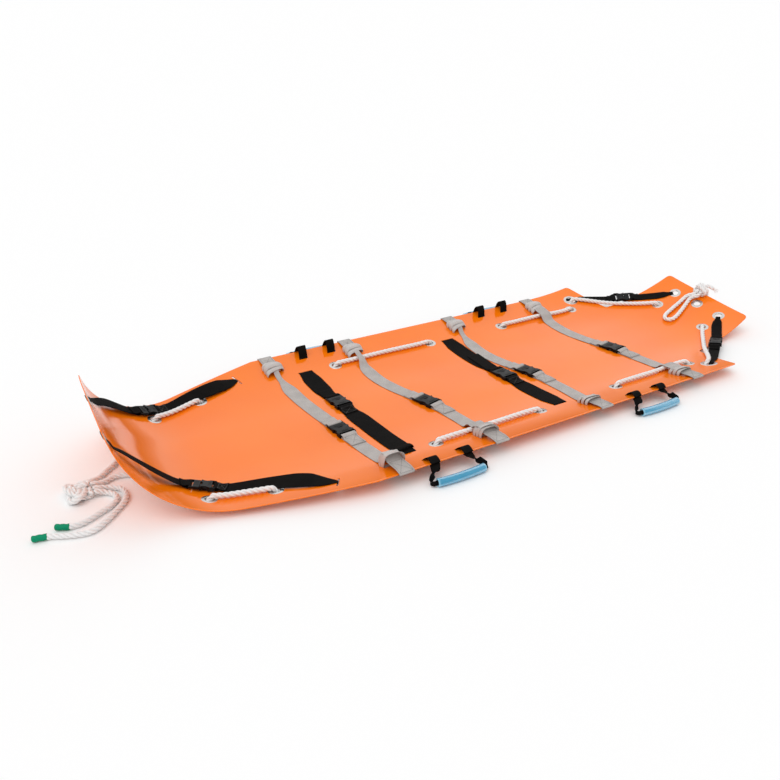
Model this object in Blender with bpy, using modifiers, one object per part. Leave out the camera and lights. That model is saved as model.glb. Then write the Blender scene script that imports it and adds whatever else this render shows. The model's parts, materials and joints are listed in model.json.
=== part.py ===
"""Roll-up rescue stretcher: a plastic sheet that curls round a casualty, with its straps and rope.

The sheet lies open on the ground. X runs along it, from the curled foot end (-X) to the head flap
(+X). Y runs across it, with the left side at +Y, and Z is up. Everything on the sheet is placed in
the sheet's own flat coordinates: u along it, v across it and h above its middle layer. One function,
sheet_at, then bends that flat layout into the trough, the foot curl and the head flap's lift.
"""
from math import atan, ceil, cos, pi, radians, sin, sqrt

import bmesh
import bpy
from mathutils import Matrix, Vector

MM = 0.001

# Sheet, flat: half widths across and places along
SHEET_THICK = 2.5 * MM
FOOT_END_U = -1.357
FOOT_HALF = 0.204
TAPER_BULGE = 0.018
SHOULDER_U = -0.62
SHOULDER_HALF = 0.452
SIDE_END_U = 0.842
SIDE_END_HALF = 0.440
NOTCH_U = 0.883
NOTCH_HALF = 0.242
FLAP_END_U = 1.209
FLAP_HALF = 0.197
CORNER_ROUND = 0.022
NOTCH_ROUND = 0.012

# Sheet, bent: trough, foot curl and head lift
TROUGH_FLAT_HALF = 0.12
TROUGH_RISE = 0.404
CURL_START = -0.930
CURL_SKEW = 0.065
CURL_BEND = 3.447
CURL_RAMP = 0.056
LIFT_START = 0.663
LIFT_SKEW = -0.334
LIFT_BEND = 1.237
LIFT_RAMP = 0.338

# Clearances
GAP = 0.65 * MM
SEAT = 0.3 * MM

# Rope and its eyelets
ROPE_D = 13 * MM
EYELET_BORE = 26 * MM
EYELET_RIM = 10 * MM
EYELET_PROUD = 1.0 * MM
BIG_EYELET_BORE = 39 * MM
ROPE_EYELETS = [(-1.028, 0.250), (-0.858, 0.305), (-0.350, 0.323), (0.050, 0.320),
                (0.386, 0.315), (0.746, 0.309), (0.792, 0.362), (1.047, 0.116)]
BIG_EYELET = 6
ROPE_BOW = 0.030
BIG_EYELET_SPLIT = 8.2 * MM
FOOT_STRAP_EYELET = (-1.319, 0.1165)
HEAD_STRAP_EYELET = (1.144, 0.111)
HEAD_FREE_EYELET = (1.148, 0.0)

# Webbing
WEB_THICK = 1.8 * MM
CROSS_WEB = 50 * MM
BODY_WEB = 66 * MM
END_WEB = 38 * MM
END_BAND = 50 * MM
END_FOLD = 16 * MM
SLOT_LONG_EXTRA = 4 * MM
SLOT_WIDE = 6 * MM

# Cross straps: place along at the edges, lean, swing of the slack, buckle place across
CROSS_SLOT_V = 0.372
CROSS_STRAPS = {1: (-0.550, -0.050, 0.004, -0.077), 2: (-0.226, -0.070, 0.024, -0.051),
                3: (0.213, -0.010, 0.026, -0.042), 4: (0.620, -0.050, 0.020, -0.042)}
OVER_ROPE = (2, 4)
KNUCKLE_HIGH = 11.5 * MM

# Black body straps: place along, lean, swing, buckle place across, slot place across, tail length
BODY_STRAPS = {1: (-0.458, -0.030, 0.003, 0.091, 0.327, 0.060),
               2: (0.133, -0.030, 0.004, -0.0165, 0.313, 0.150)}
STUB = 30 * MM

# Side-release buckles, for 50 mm and for 38 mm webbing
BUCKLE_HIGH = 12.5 * MM
BUCKLE_BAR = 4 * MM
BUCKLE_BAR_DEEP = 5 * MM
BUCKLE_RAIL = 4.5 * MM
BUCKLE_STANDOFF = 1.2 * MM
SOCKET_LONG = {CROSS_WEB: 48 * MM, END_WEB: 42 * MM}
PLUG_LONG = {CROSS_WEB: 34 * MM, END_WEB: 30 * MM}
CAVITY_DEEP = {CROSS_WEB: 33 * MM, END_WEB: 27 * MM}
CAVITY_HIGH = 8 * MM
CAVITY_WALL = 4 * MM
WINDOW_LONG = 12 * MM
WINDOW_HIGH = 5.2 * MM
ARM_WIDE = 7 * MM
ARM_HIGH = 6.2 * MM
TONGUE_WIDE = 9 * MM
TONGUE_HIGH = 5 * MM
PINCH_DEEP = 3 * MM
PLUG_SIDE_STEP = 1.5 * MM
PLUG_HIGH = 8 * MM
WAIST_ROUND = 24 * MM
BAR_SLOT = 6 * MM
BAR_RUN = 14 * MM

# Foot end straps: slot, buckles (place and flat way of pull), wide bands and upper runs
FOOT_SLOT = (-0.703, 0.372)
END_BUCKLE_OUT = 4 * MM
CURL_RUN = 4.2 * MM
FOOT_BUCKLES = {"left": (-1.050, 0.283, (-0.96, -0.22)), "right": (-1.030, -0.182, (-0.881, 0.473))}
FOOT_BANDS = {
    "left": [(-0.950, 0.314, 1.5 * MM, 0), (-0.900, 0.328, 1.8 * MM, 0), (-0.850, 0.342, 1.8 * MM, 0),
             (-0.800, 0.352, 1.0 * MM, 0), (-0.735, 0.365, 0.3 * MM, 0)],
    "right": [(-0.950, -0.230, 6 * MM, 12), (-0.900, -0.253, 9 * MM, 16), (-0.850, -0.281, 9 * MM, 16),
              (-0.800, -0.315, 5 * MM, 9), (-0.735, -0.355, 0.5 * MM, 0)]}
FOOT_UPPER = {
    "left": [(-1.125, 0.263, 1.2 * MM), (-1.165, 0.249, 1.2 * MM), (-1.205, 0.230, 1.2 * MM),
             (-1.243, 0.200, 1.2 * MM), (-1.272, 0.168, 1.5 * MM)],
    "right": [(-1.105, -0.146, 7 * MM), (-1.150, -0.137, 22 * MM), (-1.190, -0.130, 37 * MM),
              (-1.232, -0.124, 42 * MM), (-1.268, -0.119, 26 * MM)]}

# Carrying handles: place along, at both sides
HANDLES = {1: -0.380, 2: 0.410}
HANDLE_RING_SPREAD = 0.112
HANDLE_WEB = 32 * MM
HANDLE_SLOT_V = 0.405
GRIP_LONG = 0.160
GRIP_D = 25 * MM
GRIP_BORE = 17 * MM
GRIP_REACH = 0.052
GRIP_BOW = 5 * MM
CORE_WEB = 14 * MM

# Head knot and loop, tow ropes, foot knot and tails, all of the same rope
HEAD_KNOT = (1.205, 0.021)
HEAD_KNOT_SIZE = (0.051, 0.056, 0.036)
EDGE_TURN = 9.5 * MM
LOOP = [(1.156, 0.0365), (1.115, 0.025), (1.070, 0.009), (1.020, -0.004), (0.994, -0.003),
        (0.988, 0.012), (1.000, 0.028), (1.046, 0.042), (1.100, 0.051), (1.156, 0.0555)]
FOOT_KNOT_AT = (-1.322, -0.040)
FOOT_KNOT_SIZE = (0.078, 0.102, 0.036)
FOOT_KNOT_STRANDS = (0.037, 0.019, -0.005, -0.023)
STRAND_STEP = 18 * MM
LOOP_LIFT = 1.2 * MM
ROPE_STEP = 0.07
TOW_ROUTES = {
    "left": [(-1.110, 0.210, 3 * MM), (-1.150, 0.148, 0), (-1.183, 0.085, 0), (-1.223, 0.045, 0),
             (-1.256, 0.012, 2 * MM)],
    "right": [(-1.096, -0.205, 1 * MM), (-1.118, -0.130, 0), (-1.140, -0.055, 0), (-1.172, -0.010, 0),
              (-1.210, 0.002, 0), (-1.248, -0.014, 2 * MM)]}
TAIL_ROUTES = {
    "left": [(-1.240, -0.046), (-1.214, -0.066), (-1.208, -0.100), (-1.222, -0.136), (-1.252, -0.168),
             (-1.280, -0.196), (-1.325, -0.226), (-1.367, -0.220), (-1.429, -0.192), (-1.463, -0.184)],
    "right": [(-1.252, -0.067), (-1.236, -0.085), (-1.235, -0.112), (-1.255, -0.137), (-1.283, -0.151),
              (-1.335, -0.177), (-1.366, -0.179), (-1.403, -0.161)]}

MATERIALS = {
    "orange_sheet": ((0.95, 0.22, 0.02), 0.30, 0.0),
    "gray_webbing": ((0.42, 0.40, 0.38), 0.80, 0.0),
    "black_webbing": ((0.012, 0.012, 0.014), 0.85, 0.0),
    "black_plastic": ((0.015, 0.015, 0.017), 0.35, 0.0),
    "blue_grip": ((0.10, 0.42, 0.68), 0.35, 0.0),
    "white_rope": ((0.85, 0.85, 0.84), 0.75, 0.0),
}

half_sheet = SHEET_THICK / 2
rope_r = ROPE_D / 2
web_h = half_sheet + GAP + WEB_THICK / 2
rope_low = half_sheet + GAP + rope_r
rim_top = half_sheet + EYELET_PROUD
knot_base = rim_top + 2.4 * MM


def start_scene():
    """Empty the scene and make the collections, the parent empty and the materials."""
    for item in list(bpy.data.objects):
        bpy.data.objects.remove(item, do_unlink=True)
    parts = bpy.data.collections.new("roll_up_stretcher")
    cutters = bpy.data.collections.new("cutters")
    bpy.context.scene.collection.children.link(parts)
    bpy.context.scene.collection.children.link(cutters)
    base = bpy.data.objects.new("stretcher_origin", None)
    parts.objects.link(base)
    mats = {}
    for name, (colour, rough, metal) in MATERIALS.items():
        mat = bpy.data.materials.new(name)
        mat.use_nodes = True
        bsdf = mat.node_tree.nodes["Principled BSDF"]
        bsdf.inputs["Base Color"].default_value = (*colour, 1.0)
        bsdf.inputs["Roughness"].default_value = rough
        bsdf.inputs["Metallic"].default_value = metal
        mats[name] = mat
    return parts, cutters, base, mats


PARTS, CUTTERS, BASE, MATS = start_scene()


# The bent sheet

def curled(t, bend, ramp):
    """Distance along, rise and slope once a sheet has bent for a length t."""
    if t <= 0:
        return 0.0, 0.0, 0.0

    def slope(s):
        return bend * (s * s / (2 * ramp) if s < ramp else s - ramp / 2)

    steps = 32
    piece = t / steps
    mids = [slope((i + 0.5) * piece) for i in range(steps)]
    return sum(cos(a) for a in mids) * piece, sum(sin(a) for a in mids) * piece, slope(t)


def sheet_at(u, v, h=0.0):
    """World place of the flat sheet's point (u, v), a height h above its middle layer."""
    curl_u = CURL_START + CURL_SKEW * v
    lift_u = LIFT_START + LIFT_SKEW * v
    back, foot_z, foot_slope = curled(curl_u - u, CURL_BEND, CURL_RAMP)
    ahead, head_z, head_slope = curled(u - lift_u, LIFT_BEND, LIFT_RAMP)
    x = curl_u - back if u < curl_u else lift_u + ahead if u > lift_u else u
    over = max(abs(v) - TROUGH_FLAT_HALF, 0.0)
    side = atan(2 * TROUGH_RISE * over)
    up = TROUGH_RISE * over ** 2 + half_sheet + h * cos(side)
    y = abs(v) - 2 / 3 * TROUGH_RISE ** 2 * over ** 3 - h * sin(side)
    lean = foot_slope - head_slope
    return Vector((x + up * sin(lean), y if v >= 0 else -y, foot_z + head_z + up * cos(lean)))


def sheet_axes(u, v, h=0.0):
    """Unit vectors along u, along v and out of the sheet at a point."""
    step = 0.0005
    along = (sheet_at(u + step, v, h) - sheet_at(u - step, v, h)).normalized()
    across = (sheet_at(u, v + step, h) - sheet_at(u, v - step, h)).normalized()
    return along, across, along.cross(across).normalized()


# Small modelling helpers

def own(name, mesh, material, origin=None, collection=None):
    """A new object of this mesh, with its origin moved to a point and the base as its parent."""
    obj = bpy.data.objects.new(name, mesh)
    (collection or PARTS).objects.link(obj)
    if origin is not None:
        mesh.transform(Matrix.Translation(-Vector(origin)))
        obj.location = origin
    if material:
        mesh.materials.clear()
        mesh.materials.append(MATS[material])
    if collection is None:
        obj.parent = BASE
    return obj


def evaluated_mesh(obj):
    """The object's mesh with its modifiers applied."""
    bpy.context.view_layer.update()
    graph = bpy.context.evaluated_depsgraph_get()
    return bpy.data.meshes.new_from_object(obj.evaluated_get(graph))


def drop(obj):
    bpy.data.objects.remove(obj, do_unlink=True)


def box_mesh(name, low, high):
    """A box between two corners, from a unit cube."""
    bm = bmesh.new()
    bmesh.ops.create_cube(bm, size=1.0)
    low, high = Vector(low), Vector(high)
    size, mid = high - low, (low + high) / 2
    for vert in bm.verts:
        vert.co = Vector(vert.co[i] * size[i] + mid[i] for i in range(3))
    mesh = bpy.data.meshes.new(name)
    bm.to_mesh(mesh)
    bm.free()
    return mesh


def as_cutter(mesh, name):
    obj = bpy.data.objects.new(name, mesh)
    CUTTERS.objects.link(obj)
    obj.hide_render = True
    obj.display_type = "WIRE"
    return obj


def boolean(obj, tool, operation="DIFFERENCE"):
    mod = obj.modifiers.new(operation.lower(), "BOOLEAN")
    mod.operation = operation
    mod.object = tool


def joined(meshes, name):
    """One mesh that holds copies of several, which don't touch."""
    bm = bmesh.new()
    for mesh in meshes:
        bm.from_mesh(mesh)
    out = bpy.data.meshes.new(name)
    bm.to_mesh(out)
    bm.free()
    return out


def smooth_path(points, spacing):
    """Points read every spacing along a Catmull-Rom curve through the given points."""
    pts = [Vector(p) for p in points]
    ends = [2 * pts[0] - pts[1]] + pts + [2 * pts[-1] - pts[-2]]
    dense = []
    for a, b, c, d in zip(ends, ends[1:], ends[2:], ends[3:]):
        for i in range(24):
            t = i / 24
            dense.append(0.5 * (2 * b + (c - a) * t + (2 * a - 5 * b + 4 * c - d) * t * t
                                + (3 * b - a - 3 * c + d) * t ** 3))
    dense.append(pts[-1])
    reach = [0.0]
    for a, b in zip(dense, dense[1:]):
        reach.append(reach[-1] + (b - a).length)
    count = max(2, ceil(reach[-1] / spacing))
    out, k = [], 0
    for i in range(count + 1):
        want = reach[-1] * i / count
        while k < len(reach) - 2 and reach[k + 1] < want:
            k += 1
        part = (want - reach[k]) / max(reach[k + 1] - reach[k], 1e-9)
        out.append(dense[k].lerp(dense[k + 1], min(part, 1.0)))
    return out


def tube_mesh(name, points, radius, sides_level=2):
    """A capped tube along the points, as a mesh with its caps welded on."""
    curve = bpy.data.curves.new(name, "CURVE")
    curve.dimensions = "3D"
    curve.bevel_depth = radius
    curve.bevel_resolution = sides_level
    curve.use_fill_caps = True
    spline = curve.splines.new("POLY")
    spline.points.add(len(points) - 1)
    for slot, point in zip(spline.points, points):
        slot.co = (*point, 1.0)
    guide = bpy.data.objects.new(name, curve)
    CUTTERS.objects.link(guide)
    mesh = evaluated_mesh(guide)
    drop(guide)
    bm = bmesh.new()
    bm.from_mesh(mesh)
    bmesh.ops.remove_doubles(bm, verts=bm.verts, dist=1e-6)
    bm.to_mesh(mesh)
    bm.free()
    return mesh


def rope(name, path):
    """A length of the rope along the points."""
    mesh = tube_mesh(name, path, rope_r)
    mesh.shade_smooth()
    return own(name, mesh, "white_rope", path[0])


def ribbon(name, stations, material, thick=WEB_THICK):
    """Webbing: an open strip through stations of (middle, side vector, half width), made solid."""
    bm = bmesh.new()
    origin = stations[0][0]
    rows = []
    for i, (mid, side, half) in enumerate(stations):
        before = stations[max(i - 1, 0)][0]
        after = stations[min(i + 1, len(stations) - 1)][0]
        run = (after - before).normalized()
        side = (side - run * side.dot(run)).normalized()
        rows.append([bm.verts.new(mid - origin + side * half * s) for s in (-1, 1)])
    for (a, b), (c, d) in zip(rows, rows[1:]):
        bm.faces.new((a, b, d, c))
    mesh = bpy.data.meshes.new(name)
    bm.to_mesh(mesh)
    bm.free()
    obj = own(name, mesh, material)
    obj.location = origin
    mod = obj.modifiers.new("webbing_thickness", "SOLIDIFY")
    mod.thickness = thick
    mod.offset = 0.0
    mod.use_even_offset = True
    return obj


# The sheet

def half_width(u):
    """Half width of the flat sheet from the foot end to the side end."""
    if u < SHOULDER_U:
        t = (u - FOOT_END_U) / (SHOULDER_U - FOOT_END_U)
        return FOOT_HALF + (SHOULDER_HALF - FOOT_HALF) * t + 4 * TAPER_BULGE * t * (1 - t)
    t = (u - SHOULDER_U) / (SIDE_END_U - SHOULDER_U)
    return SHOULDER_HALF + (SIDE_END_HALF - SHOULDER_HALF) * t


def round_corner(before, corner, after, radius, steps=4):
    """Points of the arc that rounds a corner of a flat outline."""
    a = (Vector(before) - Vector(corner)).normalized()
    b = (Vector(after) - Vector(corner)).normalized()
    reach = radius / max(sqrt((1 - a.dot(b)) / (1 + a.dot(b))), 0.1)
    start, end = Vector(corner) + a * reach, Vector(corner) + b * reach
    out = []
    for i in range(steps + 1):
        t = i / steps
        out.append(start * (1 - t) ** 2 + 2 * Vector(corner) * t * (1 - t) + end * t * t)
    return out


def outline_points():
    """The flat outline, anticlockwise from the right foot corner."""
    taper = [(FOOT_END_U + (SHOULDER_U - FOOT_END_U) * i / 8) for i in range(9)]
    side = [Vector((u, half_width(u))) for u in taper]
    corner = [Vector((FOOT_END_U, 0)), side[0], side[1]]
    half = round_corner(*corner, CORNER_ROUND) + side[1:]
    end, notch = Vector((SIDE_END_U, SIDE_END_HALF)), Vector((NOTCH_U, NOTCH_HALF))
    flap = Vector((FLAP_END_U, FLAP_HALF))
    half += round_corner(side[-1], end, notch, CORNER_ROUND)
    half += round_corner(end, notch, flap, NOTCH_ROUND)
    half += round_corner(notch, flap, Vector((FLAP_END_U, 0)), CORNER_ROUND)
    return [Vector((p.x, -p.y)) for p in half] + half[::-1]


def disc_mesh(name, u, v, radius, low, high, sides):
    bm = bmesh.new()
    bmesh.ops.create_cone(bm, cap_ends=True, segments=sides, radius1=radius, radius2=radius,
                          depth=high - low, matrix=Matrix.Translation((u, v, (low + high) / 2)))
    mesh = bpy.data.meshes.new(name)
    bm.to_mesh(mesh)
    bm.free()
    return mesh


def slot_mesh(u, v, long_dir, long):
    """A slot through the sheet: centre, the direction of its long side and that side's length."""
    mesh = box_mesh("slot", (-long / 2, -SLOT_WIDE / 2, -0.01), (long / 2, SLOT_WIDE / 2, 0.01))
    turn = Vector((1, 0)).angle_signed(Vector(long_dir))
    mesh.transform(Matrix.Translation((u, v, 0)) @ Matrix.Rotation(-turn, 4, "Z"))
    return mesh


def eyelet_places():
    """Every eyelet as (u, v, bore)."""
    out = []
    for i, (u, v) in enumerate(ROPE_EYELETS):
        out.append((u, v, BIG_EYELET_BORE if i == BIG_EYELET else EYELET_BORE))
    out += [(*FOOT_STRAP_EYELET, EYELET_BORE), (*HEAD_STRAP_EYELET, EYELET_BORE)]
    return out + [(u, -v, bore) for u, v, bore in out] + [(*HEAD_FREE_EYELET, EYELET_BORE)]


def make_sheet():
    """The flat slab with its outline, rims, holes and slots, bent into shape at the end."""
    curl_end = CURL_START + CURL_SKEW * SHOULDER_HALF + 0.009
    foot = [FOOT_END_U - 0.02] + spread(FOOT_END_U - 0.02, curl_end, 0.027)
    plain = [foot[-1] + (0.50 - foot[-1]) * i / 4 for i in range(1, 4)]
    head = [0.50 + (FLAP_END_U + 0.02 - 0.50) * i / 15 for i in range(16)]
    us = foot + plain + head
    wing = [TROUGH_FLAT_HALF + (SHOULDER_HALF + 0.01 - TROUGH_FLAT_HALF) * i / 7 for i in range(8)]
    vs = [-w for w in wing[::-1]] + [-TROUGH_FLAT_HALF / 3, TROUGH_FLAT_HALF / 3] + wing
    bm = bmesh.new()
    bmesh.ops.create_grid(bm, x_segments=len(us) - 1, y_segments=len(vs) - 1, size=0.5)
    for vert in bm.verts:
        i = round((vert.co.x + 0.5) * (len(us) - 1))
        j = round((vert.co.y + 0.5) * (len(vs) - 1))
        vert.co = Vector((us[i], vs[j], 0))
    mesh = bpy.data.meshes.new("sheet_flat")
    bm.to_mesh(mesh)
    bm.free()
    slab = own("sheet_flat", mesh, None, collection=CUTTERS)
    solid = slab.modifiers.new("sheet_thickness", "SOLIDIFY")
    solid.thickness = SHEET_THICK
    solid.offset = 0.0

    curve = bpy.data.curves.new("outline", "CURVE")
    curve.dimensions = "2D"
    curve.fill_mode = "BOTH"
    curve.extrude = 0.01
    pts = outline_points()
    spline = curve.splines.new("POLY")
    spline.points.add(len(pts) - 1)
    for slot, point in zip(spline.points, pts):
        slot.co = (point.x, point.y, 0, 1)
    spline.use_cyclic_u = True
    guide = bpy.data.objects.new("outline", curve)
    CUTTERS.objects.link(guide)
    prism = evaluated_mesh(guide)
    drop(guide)
    bm = bmesh.new()
    bm.from_mesh(prism)
    bmesh.ops.remove_doubles(bm, verts=bm.verts, dist=1e-6)
    bmesh.ops.recalc_face_normals(bm, faces=bm.faces)
    bm.to_mesh(prism)
    bm.free()
    rims, holes = [], []
    for u, v, bore in eyelet_places():
        rims.append(disc_mesh("rim", u, v, bore / 2 + EYELET_RIM, 0, half_sheet + EYELET_PROUD, 12))
        holes.append(disc_mesh("bore", u, v, bore / 2, -0.01, 0.01, 12))
    for u, v, way, wide in slot_places():
        holes.append(slot_mesh(u, v, (-way[1], way[0]), wide + SLOT_LONG_EXTRA))
    tools = [("outline_prism", prism, "INTERSECT"), ("eyelet_rims", joined(rims, "eyelet_rims"), "UNION"),
             ("eyelet_bores_and_slots", joined(holes, "eyelet_bores_and_slots"), "DIFFERENCE")]
    made = []
    for name, tool_mesh, operation in tools:
        made.append(as_cutter(tool_mesh, name))
        boolean(slab, made[-1], operation)
    flat = evaluated_mesh(slab)
    for obj in made + [slab]:
        drop(obj)
    for vert in flat.vertices:
        vert.co = sheet_at(*vert.co)
    return own("sheet", flat, "orange_sheet", (0, 0, 0))


def slot_places():
    """Every slot as (u, v, strap direction, strap width)."""
    out = []
    for side in (-1, 1):
        for number in CROSS_STRAPS:
            out.append((cross_u(number, side * CROSS_SLOT_V), side * CROSS_SLOT_V, (0, 1), CROSS_WEB))
        for number, (_, _, _, _, slot_v, _) in BODY_STRAPS.items():
            out.append((body_u(number, side * slot_v), side * slot_v, (0, 1), CROSS_WEB))
        for place in HANDLES.values():
            for end in (-1, 1):
                out.append((place + end * HANDLE_RING_SPREAD / 2, side * HANDLE_SLOT_V, (0, 1), HANDLE_WEB))
        u, v = FOOT_SLOT
        last = FOOT_BANDS["left" if side > 0 else "right"][-1]
        way = Vector((last[0] - u, last[1] - side * v)).normalized()
        out.append((u, side * v, (way.x, way.y), END_BAND))
    return out


# Buckles

def buckle_width(web):
    return web + 2 * BUCKLE_RAIL


def bar_cuts(web, bar_in, outward):
    """Boxes that leave a strap bar: the slot before it and the steps above and below it."""
    half = web / 2 + 0.8 * MM
    mid = BUCKLE_HIGH / 2
    slot_in = bar_in - outward * BAR_SLOT
    far = bar_in + outward * (BUCKLE_BAR_DEEP + 2 * MM)
    wide = half + 0.3 * MM
    boxes = [((slot_in, -half, -1), (bar_in, half, 1)),
             ((slot_in + outward * MM, -wide, mid + BUCKLE_BAR / 2), (far, wide, 1)),
             ((slot_in + outward * MM, -wide, -1), (far, wide, mid - BUCKLE_BAR / 2))]
    out = []
    for low, high in boxes:
        xs = sorted((low[0], high[0]))
        out.append(box_mesh("bar_cut", (xs[0], low[1], low[2]), (xs[1], high[1], high[2])))
    return out


def shaped(name, body, tools, operation="DIFFERENCE"):
    """The body mesh with each tool mesh cut out of it, or joined to it, in turn."""
    obj = own(name, body, None, collection=CUTTERS)
    made = []
    for i, mesh in enumerate(tools):
        made.append(as_cutter(mesh, f"{name}_tool_{i}"))
        boolean(obj, made[-1], operation)
    out = evaluated_mesh(obj)
    for item in made + [obj]:
        drop(item)
    bm = bmesh.new()
    bm.from_mesh(out)
    bmesh.ops.remove_doubles(bm, verts=bm.verts, dist=1e-6)
    bmesh.ops.triangulate(bm, faces=bm.faces)
    bm.to_mesh(out)
    bm.free()
    return out


def chamfered(name, low, high, size, segments=1):
    """A box with its edges chamfered or rounded."""
    obj = own(name, box_mesh(name, low, high), None, collection=CUTTERS)
    mod = obj.modifiers.new("edges", "BEVEL")
    mod.width = size
    mod.segments = segments
    out = evaluated_mesh(obj)
    drop(obj)
    return out


def socket_mesh(web):
    """The buckle's socket. Its mouth is at x = 0 and it runs to -X, resting on z = 0."""
    long, half = SOCKET_LONG[web], buckle_width(web) / 2
    body = chamfered("socket_body", (-long, -half, 0), (0, half, BUCKLE_HIGH), 2 * MM)
    mid = BUCKLE_HIGH / 2
    inside = half - CAVITY_WALL
    middle = -CAVITY_DEEP[web] / 2
    tools = [box_mesh("cavity", (-CAVITY_DEEP[web], -inside, mid - CAVITY_HIGH / 2),
                      (0.01, inside, mid + CAVITY_HIGH / 2))]
    for side in (-1, 1):
        tools.append(disc_mesh("waist", middle, side * (half + WAIST_ROUND - PINCH_DEEP), WAIST_ROUND,
                               -0.01, 0.03, 24))
        out = side * (inside + 2 * CAVITY_WALL)
        low = (middle - WINDOW_LONG / 2, out - 3 * CAVITY_WALL, mid - WINDOW_HIGH / 2)
        high = (middle + WINDOW_LONG / 2, out + 3 * CAVITY_WALL, mid + WINDOW_HIGH / 2)
        tools.append(box_mesh("window", low, high))
    tools += bar_cuts(web, -long + BUCKLE_BAR_DEEP, -1)
    return shaped("socket", body, tools)


def plug_mesh(web):
    """The buckle's plug: two latch arms and a tongue to -X, and a strap bar at +X."""
    long, half = PLUG_LONG[web], buckle_width(web) / 2 - PLUG_SIDE_STEP
    mid = BUCKLE_HIGH / 2
    base = chamfered("plug_base", (SEAT, -half, mid - PLUG_HIGH / 2), (long, half, mid + PLUG_HIGH / 2),
                     1.5 * MM)
    base = shaped("plug_base", base, bar_cuts(web, long - BUCKLE_BAR_DEEP, 1))
    inside = buckle_width(web) / 2 - CAVITY_WALL - 0.6 * MM
    reach = CAVITY_DEEP[web] - 3 * MM
    fingers = [(inside - ARM_WIDE, inside, ARM_HIGH, reach), (-inside, ARM_WIDE - inside, ARM_HIGH, reach),
               (-TONGUE_WIDE / 2, TONGUE_WIDE / 2, TONGUE_HIGH, reach - 4 * MM)]
    tools = [box_mesh("finger", (-deep, low, mid - tall / 2), (4 * MM, high, mid + tall / 2))
             for low, high, tall, deep in fingers]
    return shaped("plug", base, tools, "UNION")


BUCKLE_MESHES = {web: (socket_mesh(web), plug_mesh(web)) for web in (CROSS_WEB, END_WEB)}


def place_buckle(name, web, mouth, pull, up):
    """Socket and plug with the mouth at a point; gives the buckle's axes: pull, across and up."""
    x = pull.normalized()
    z = (up - x * up.dot(x)).normalized()
    y = z.cross(x)
    turn = Matrix((x, y, z)).transposed().to_4x4()
    for part, mesh in zip(("socket", "plug"), BUCKLE_MESHES[web]):
        obj = bpy.data.objects.new(f"{name}_{part}", mesh)
        PARTS.objects.link(obj)
        obj.parent = BASE
        obj.matrix_world = Matrix.Translation(mouth) @ turn
        if not mesh.materials:
            mesh.materials.append(MATS["black_plastic"])
    return mouth, x, y, z


def bar_reach(web, plug):
    """Distance from the mouth to the middle of the strap bar."""
    return (PLUG_LONG if plug else SOCKET_LONG)[web] - BUCKLE_BAR_DEEP / 2


def tail_on(run, start, end, up, half):
    """A loose tail's stations, from its end inwards: a stretch of the strap's run, lifted off it."""
    out, gone = [], 0.0
    for (a, side, _), (b, after, _) in zip(run, run[1:]):
        long = (b - a).length
        way = (b - a) / long
        lift = (up - way * up.dot(way)).normalized() * (WEB_THICK + 1.4 * GAP)
        for s in (max(start, gone), end):
            if gone <= s < gone + long and s <= end:
                t = (s - gone) / long
                out.append((a.lerp(b, t) + lift, side.lerp(after, t), half))
        gone += long
    return out[::-1]


def bar_turn(buckle, web, plug, tail, run_h, run):
    """Stations of webbing with its loose tail, its turn round a strap bar and its main run.

    Heights are above the buckle's underside; the main run starts BAR_RUN past the bar."""
    mouth, x, y, z = buckle
    bar = bar_reach(web, plug)
    mid = BUCKLE_HIGH / 2
    turn = BUCKLE_BAR_DEEP / 2 + 1.1 * MM + WEB_THICK / 2
    corner = turn / cos(pi / 12)
    pairs = [(bar + 8.5 * MM, mid + turn * 0.74)]
    pairs += [(bar - corner * sin(a), mid + corner * cos(a)) for a in (pi * i / 6 for i in range(7))]
    pairs += [(bar + 6 * MM, mid - turn - 0.2 * MM), (bar + BAR_RUN, run_h)]
    way, side = (x, y) if plug else (-x, -y)
    bent = [(mouth + way * a + z * h, side, web / 2) for a, h in pairs]
    return tail_on(bent[-1:] + run, 5 * MM, tail - BAR_RUN, z, web / 2) + bent + run


# Webbing laid in the sheet's flat coordinates

def spread(a, b, step):
    """Values from a to b, without a, at most a step apart."""
    count = max(1, ceil(abs(b - a) / step - 1e-6))
    return [a + (b - a) * i / count for i in range(1, count + 1)]


def laid(points, widths, ways=None, tilts=None):
    """Stations from (u, v, h) points: the webbing lies square to its way over the flat sheet, turned
    by its tilt about that way."""
    out = []
    reach = 0.001
    for i, (u, v, h) in enumerate(points):
        before, after = points[max(i - 1, 0)], points[min(i + 1, len(points) - 1)]
        way = Vector((after[0] - before[0], after[1] - before[1]))
        if ways and ways[i] is not None:
            way = Vector(ways[i])
        way = way.normalized() * reach
        side = (sheet_at(u - way.y, v + way.x, h) - sheet_at(u + way.y, v - way.x, h)).normalized()
        if tilts and tilts[i]:
            run = (sheet_at(u + way.x, v + way.y, h) - sheet_at(u, v, h)).normalized()
            side = Matrix.Rotation(tilts[i], 3, run) @ side
        out.append((sheet_at(u, v, h), side, widths[i] / 2))
    return out


def round_lip(lip, start, end, steps, inward=False):
    """(across, height) points of webbing that turns round a sheet edge, angles from the top down."""
    radius = web_h / cos((end - start) / steps / 2)
    way = -1 if inward else 1
    return [(lip + way * radius * sin(a), radius * cos(a))
            for a in (start + (end - start) * i / steps for i in range(steps + 1))]


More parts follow.
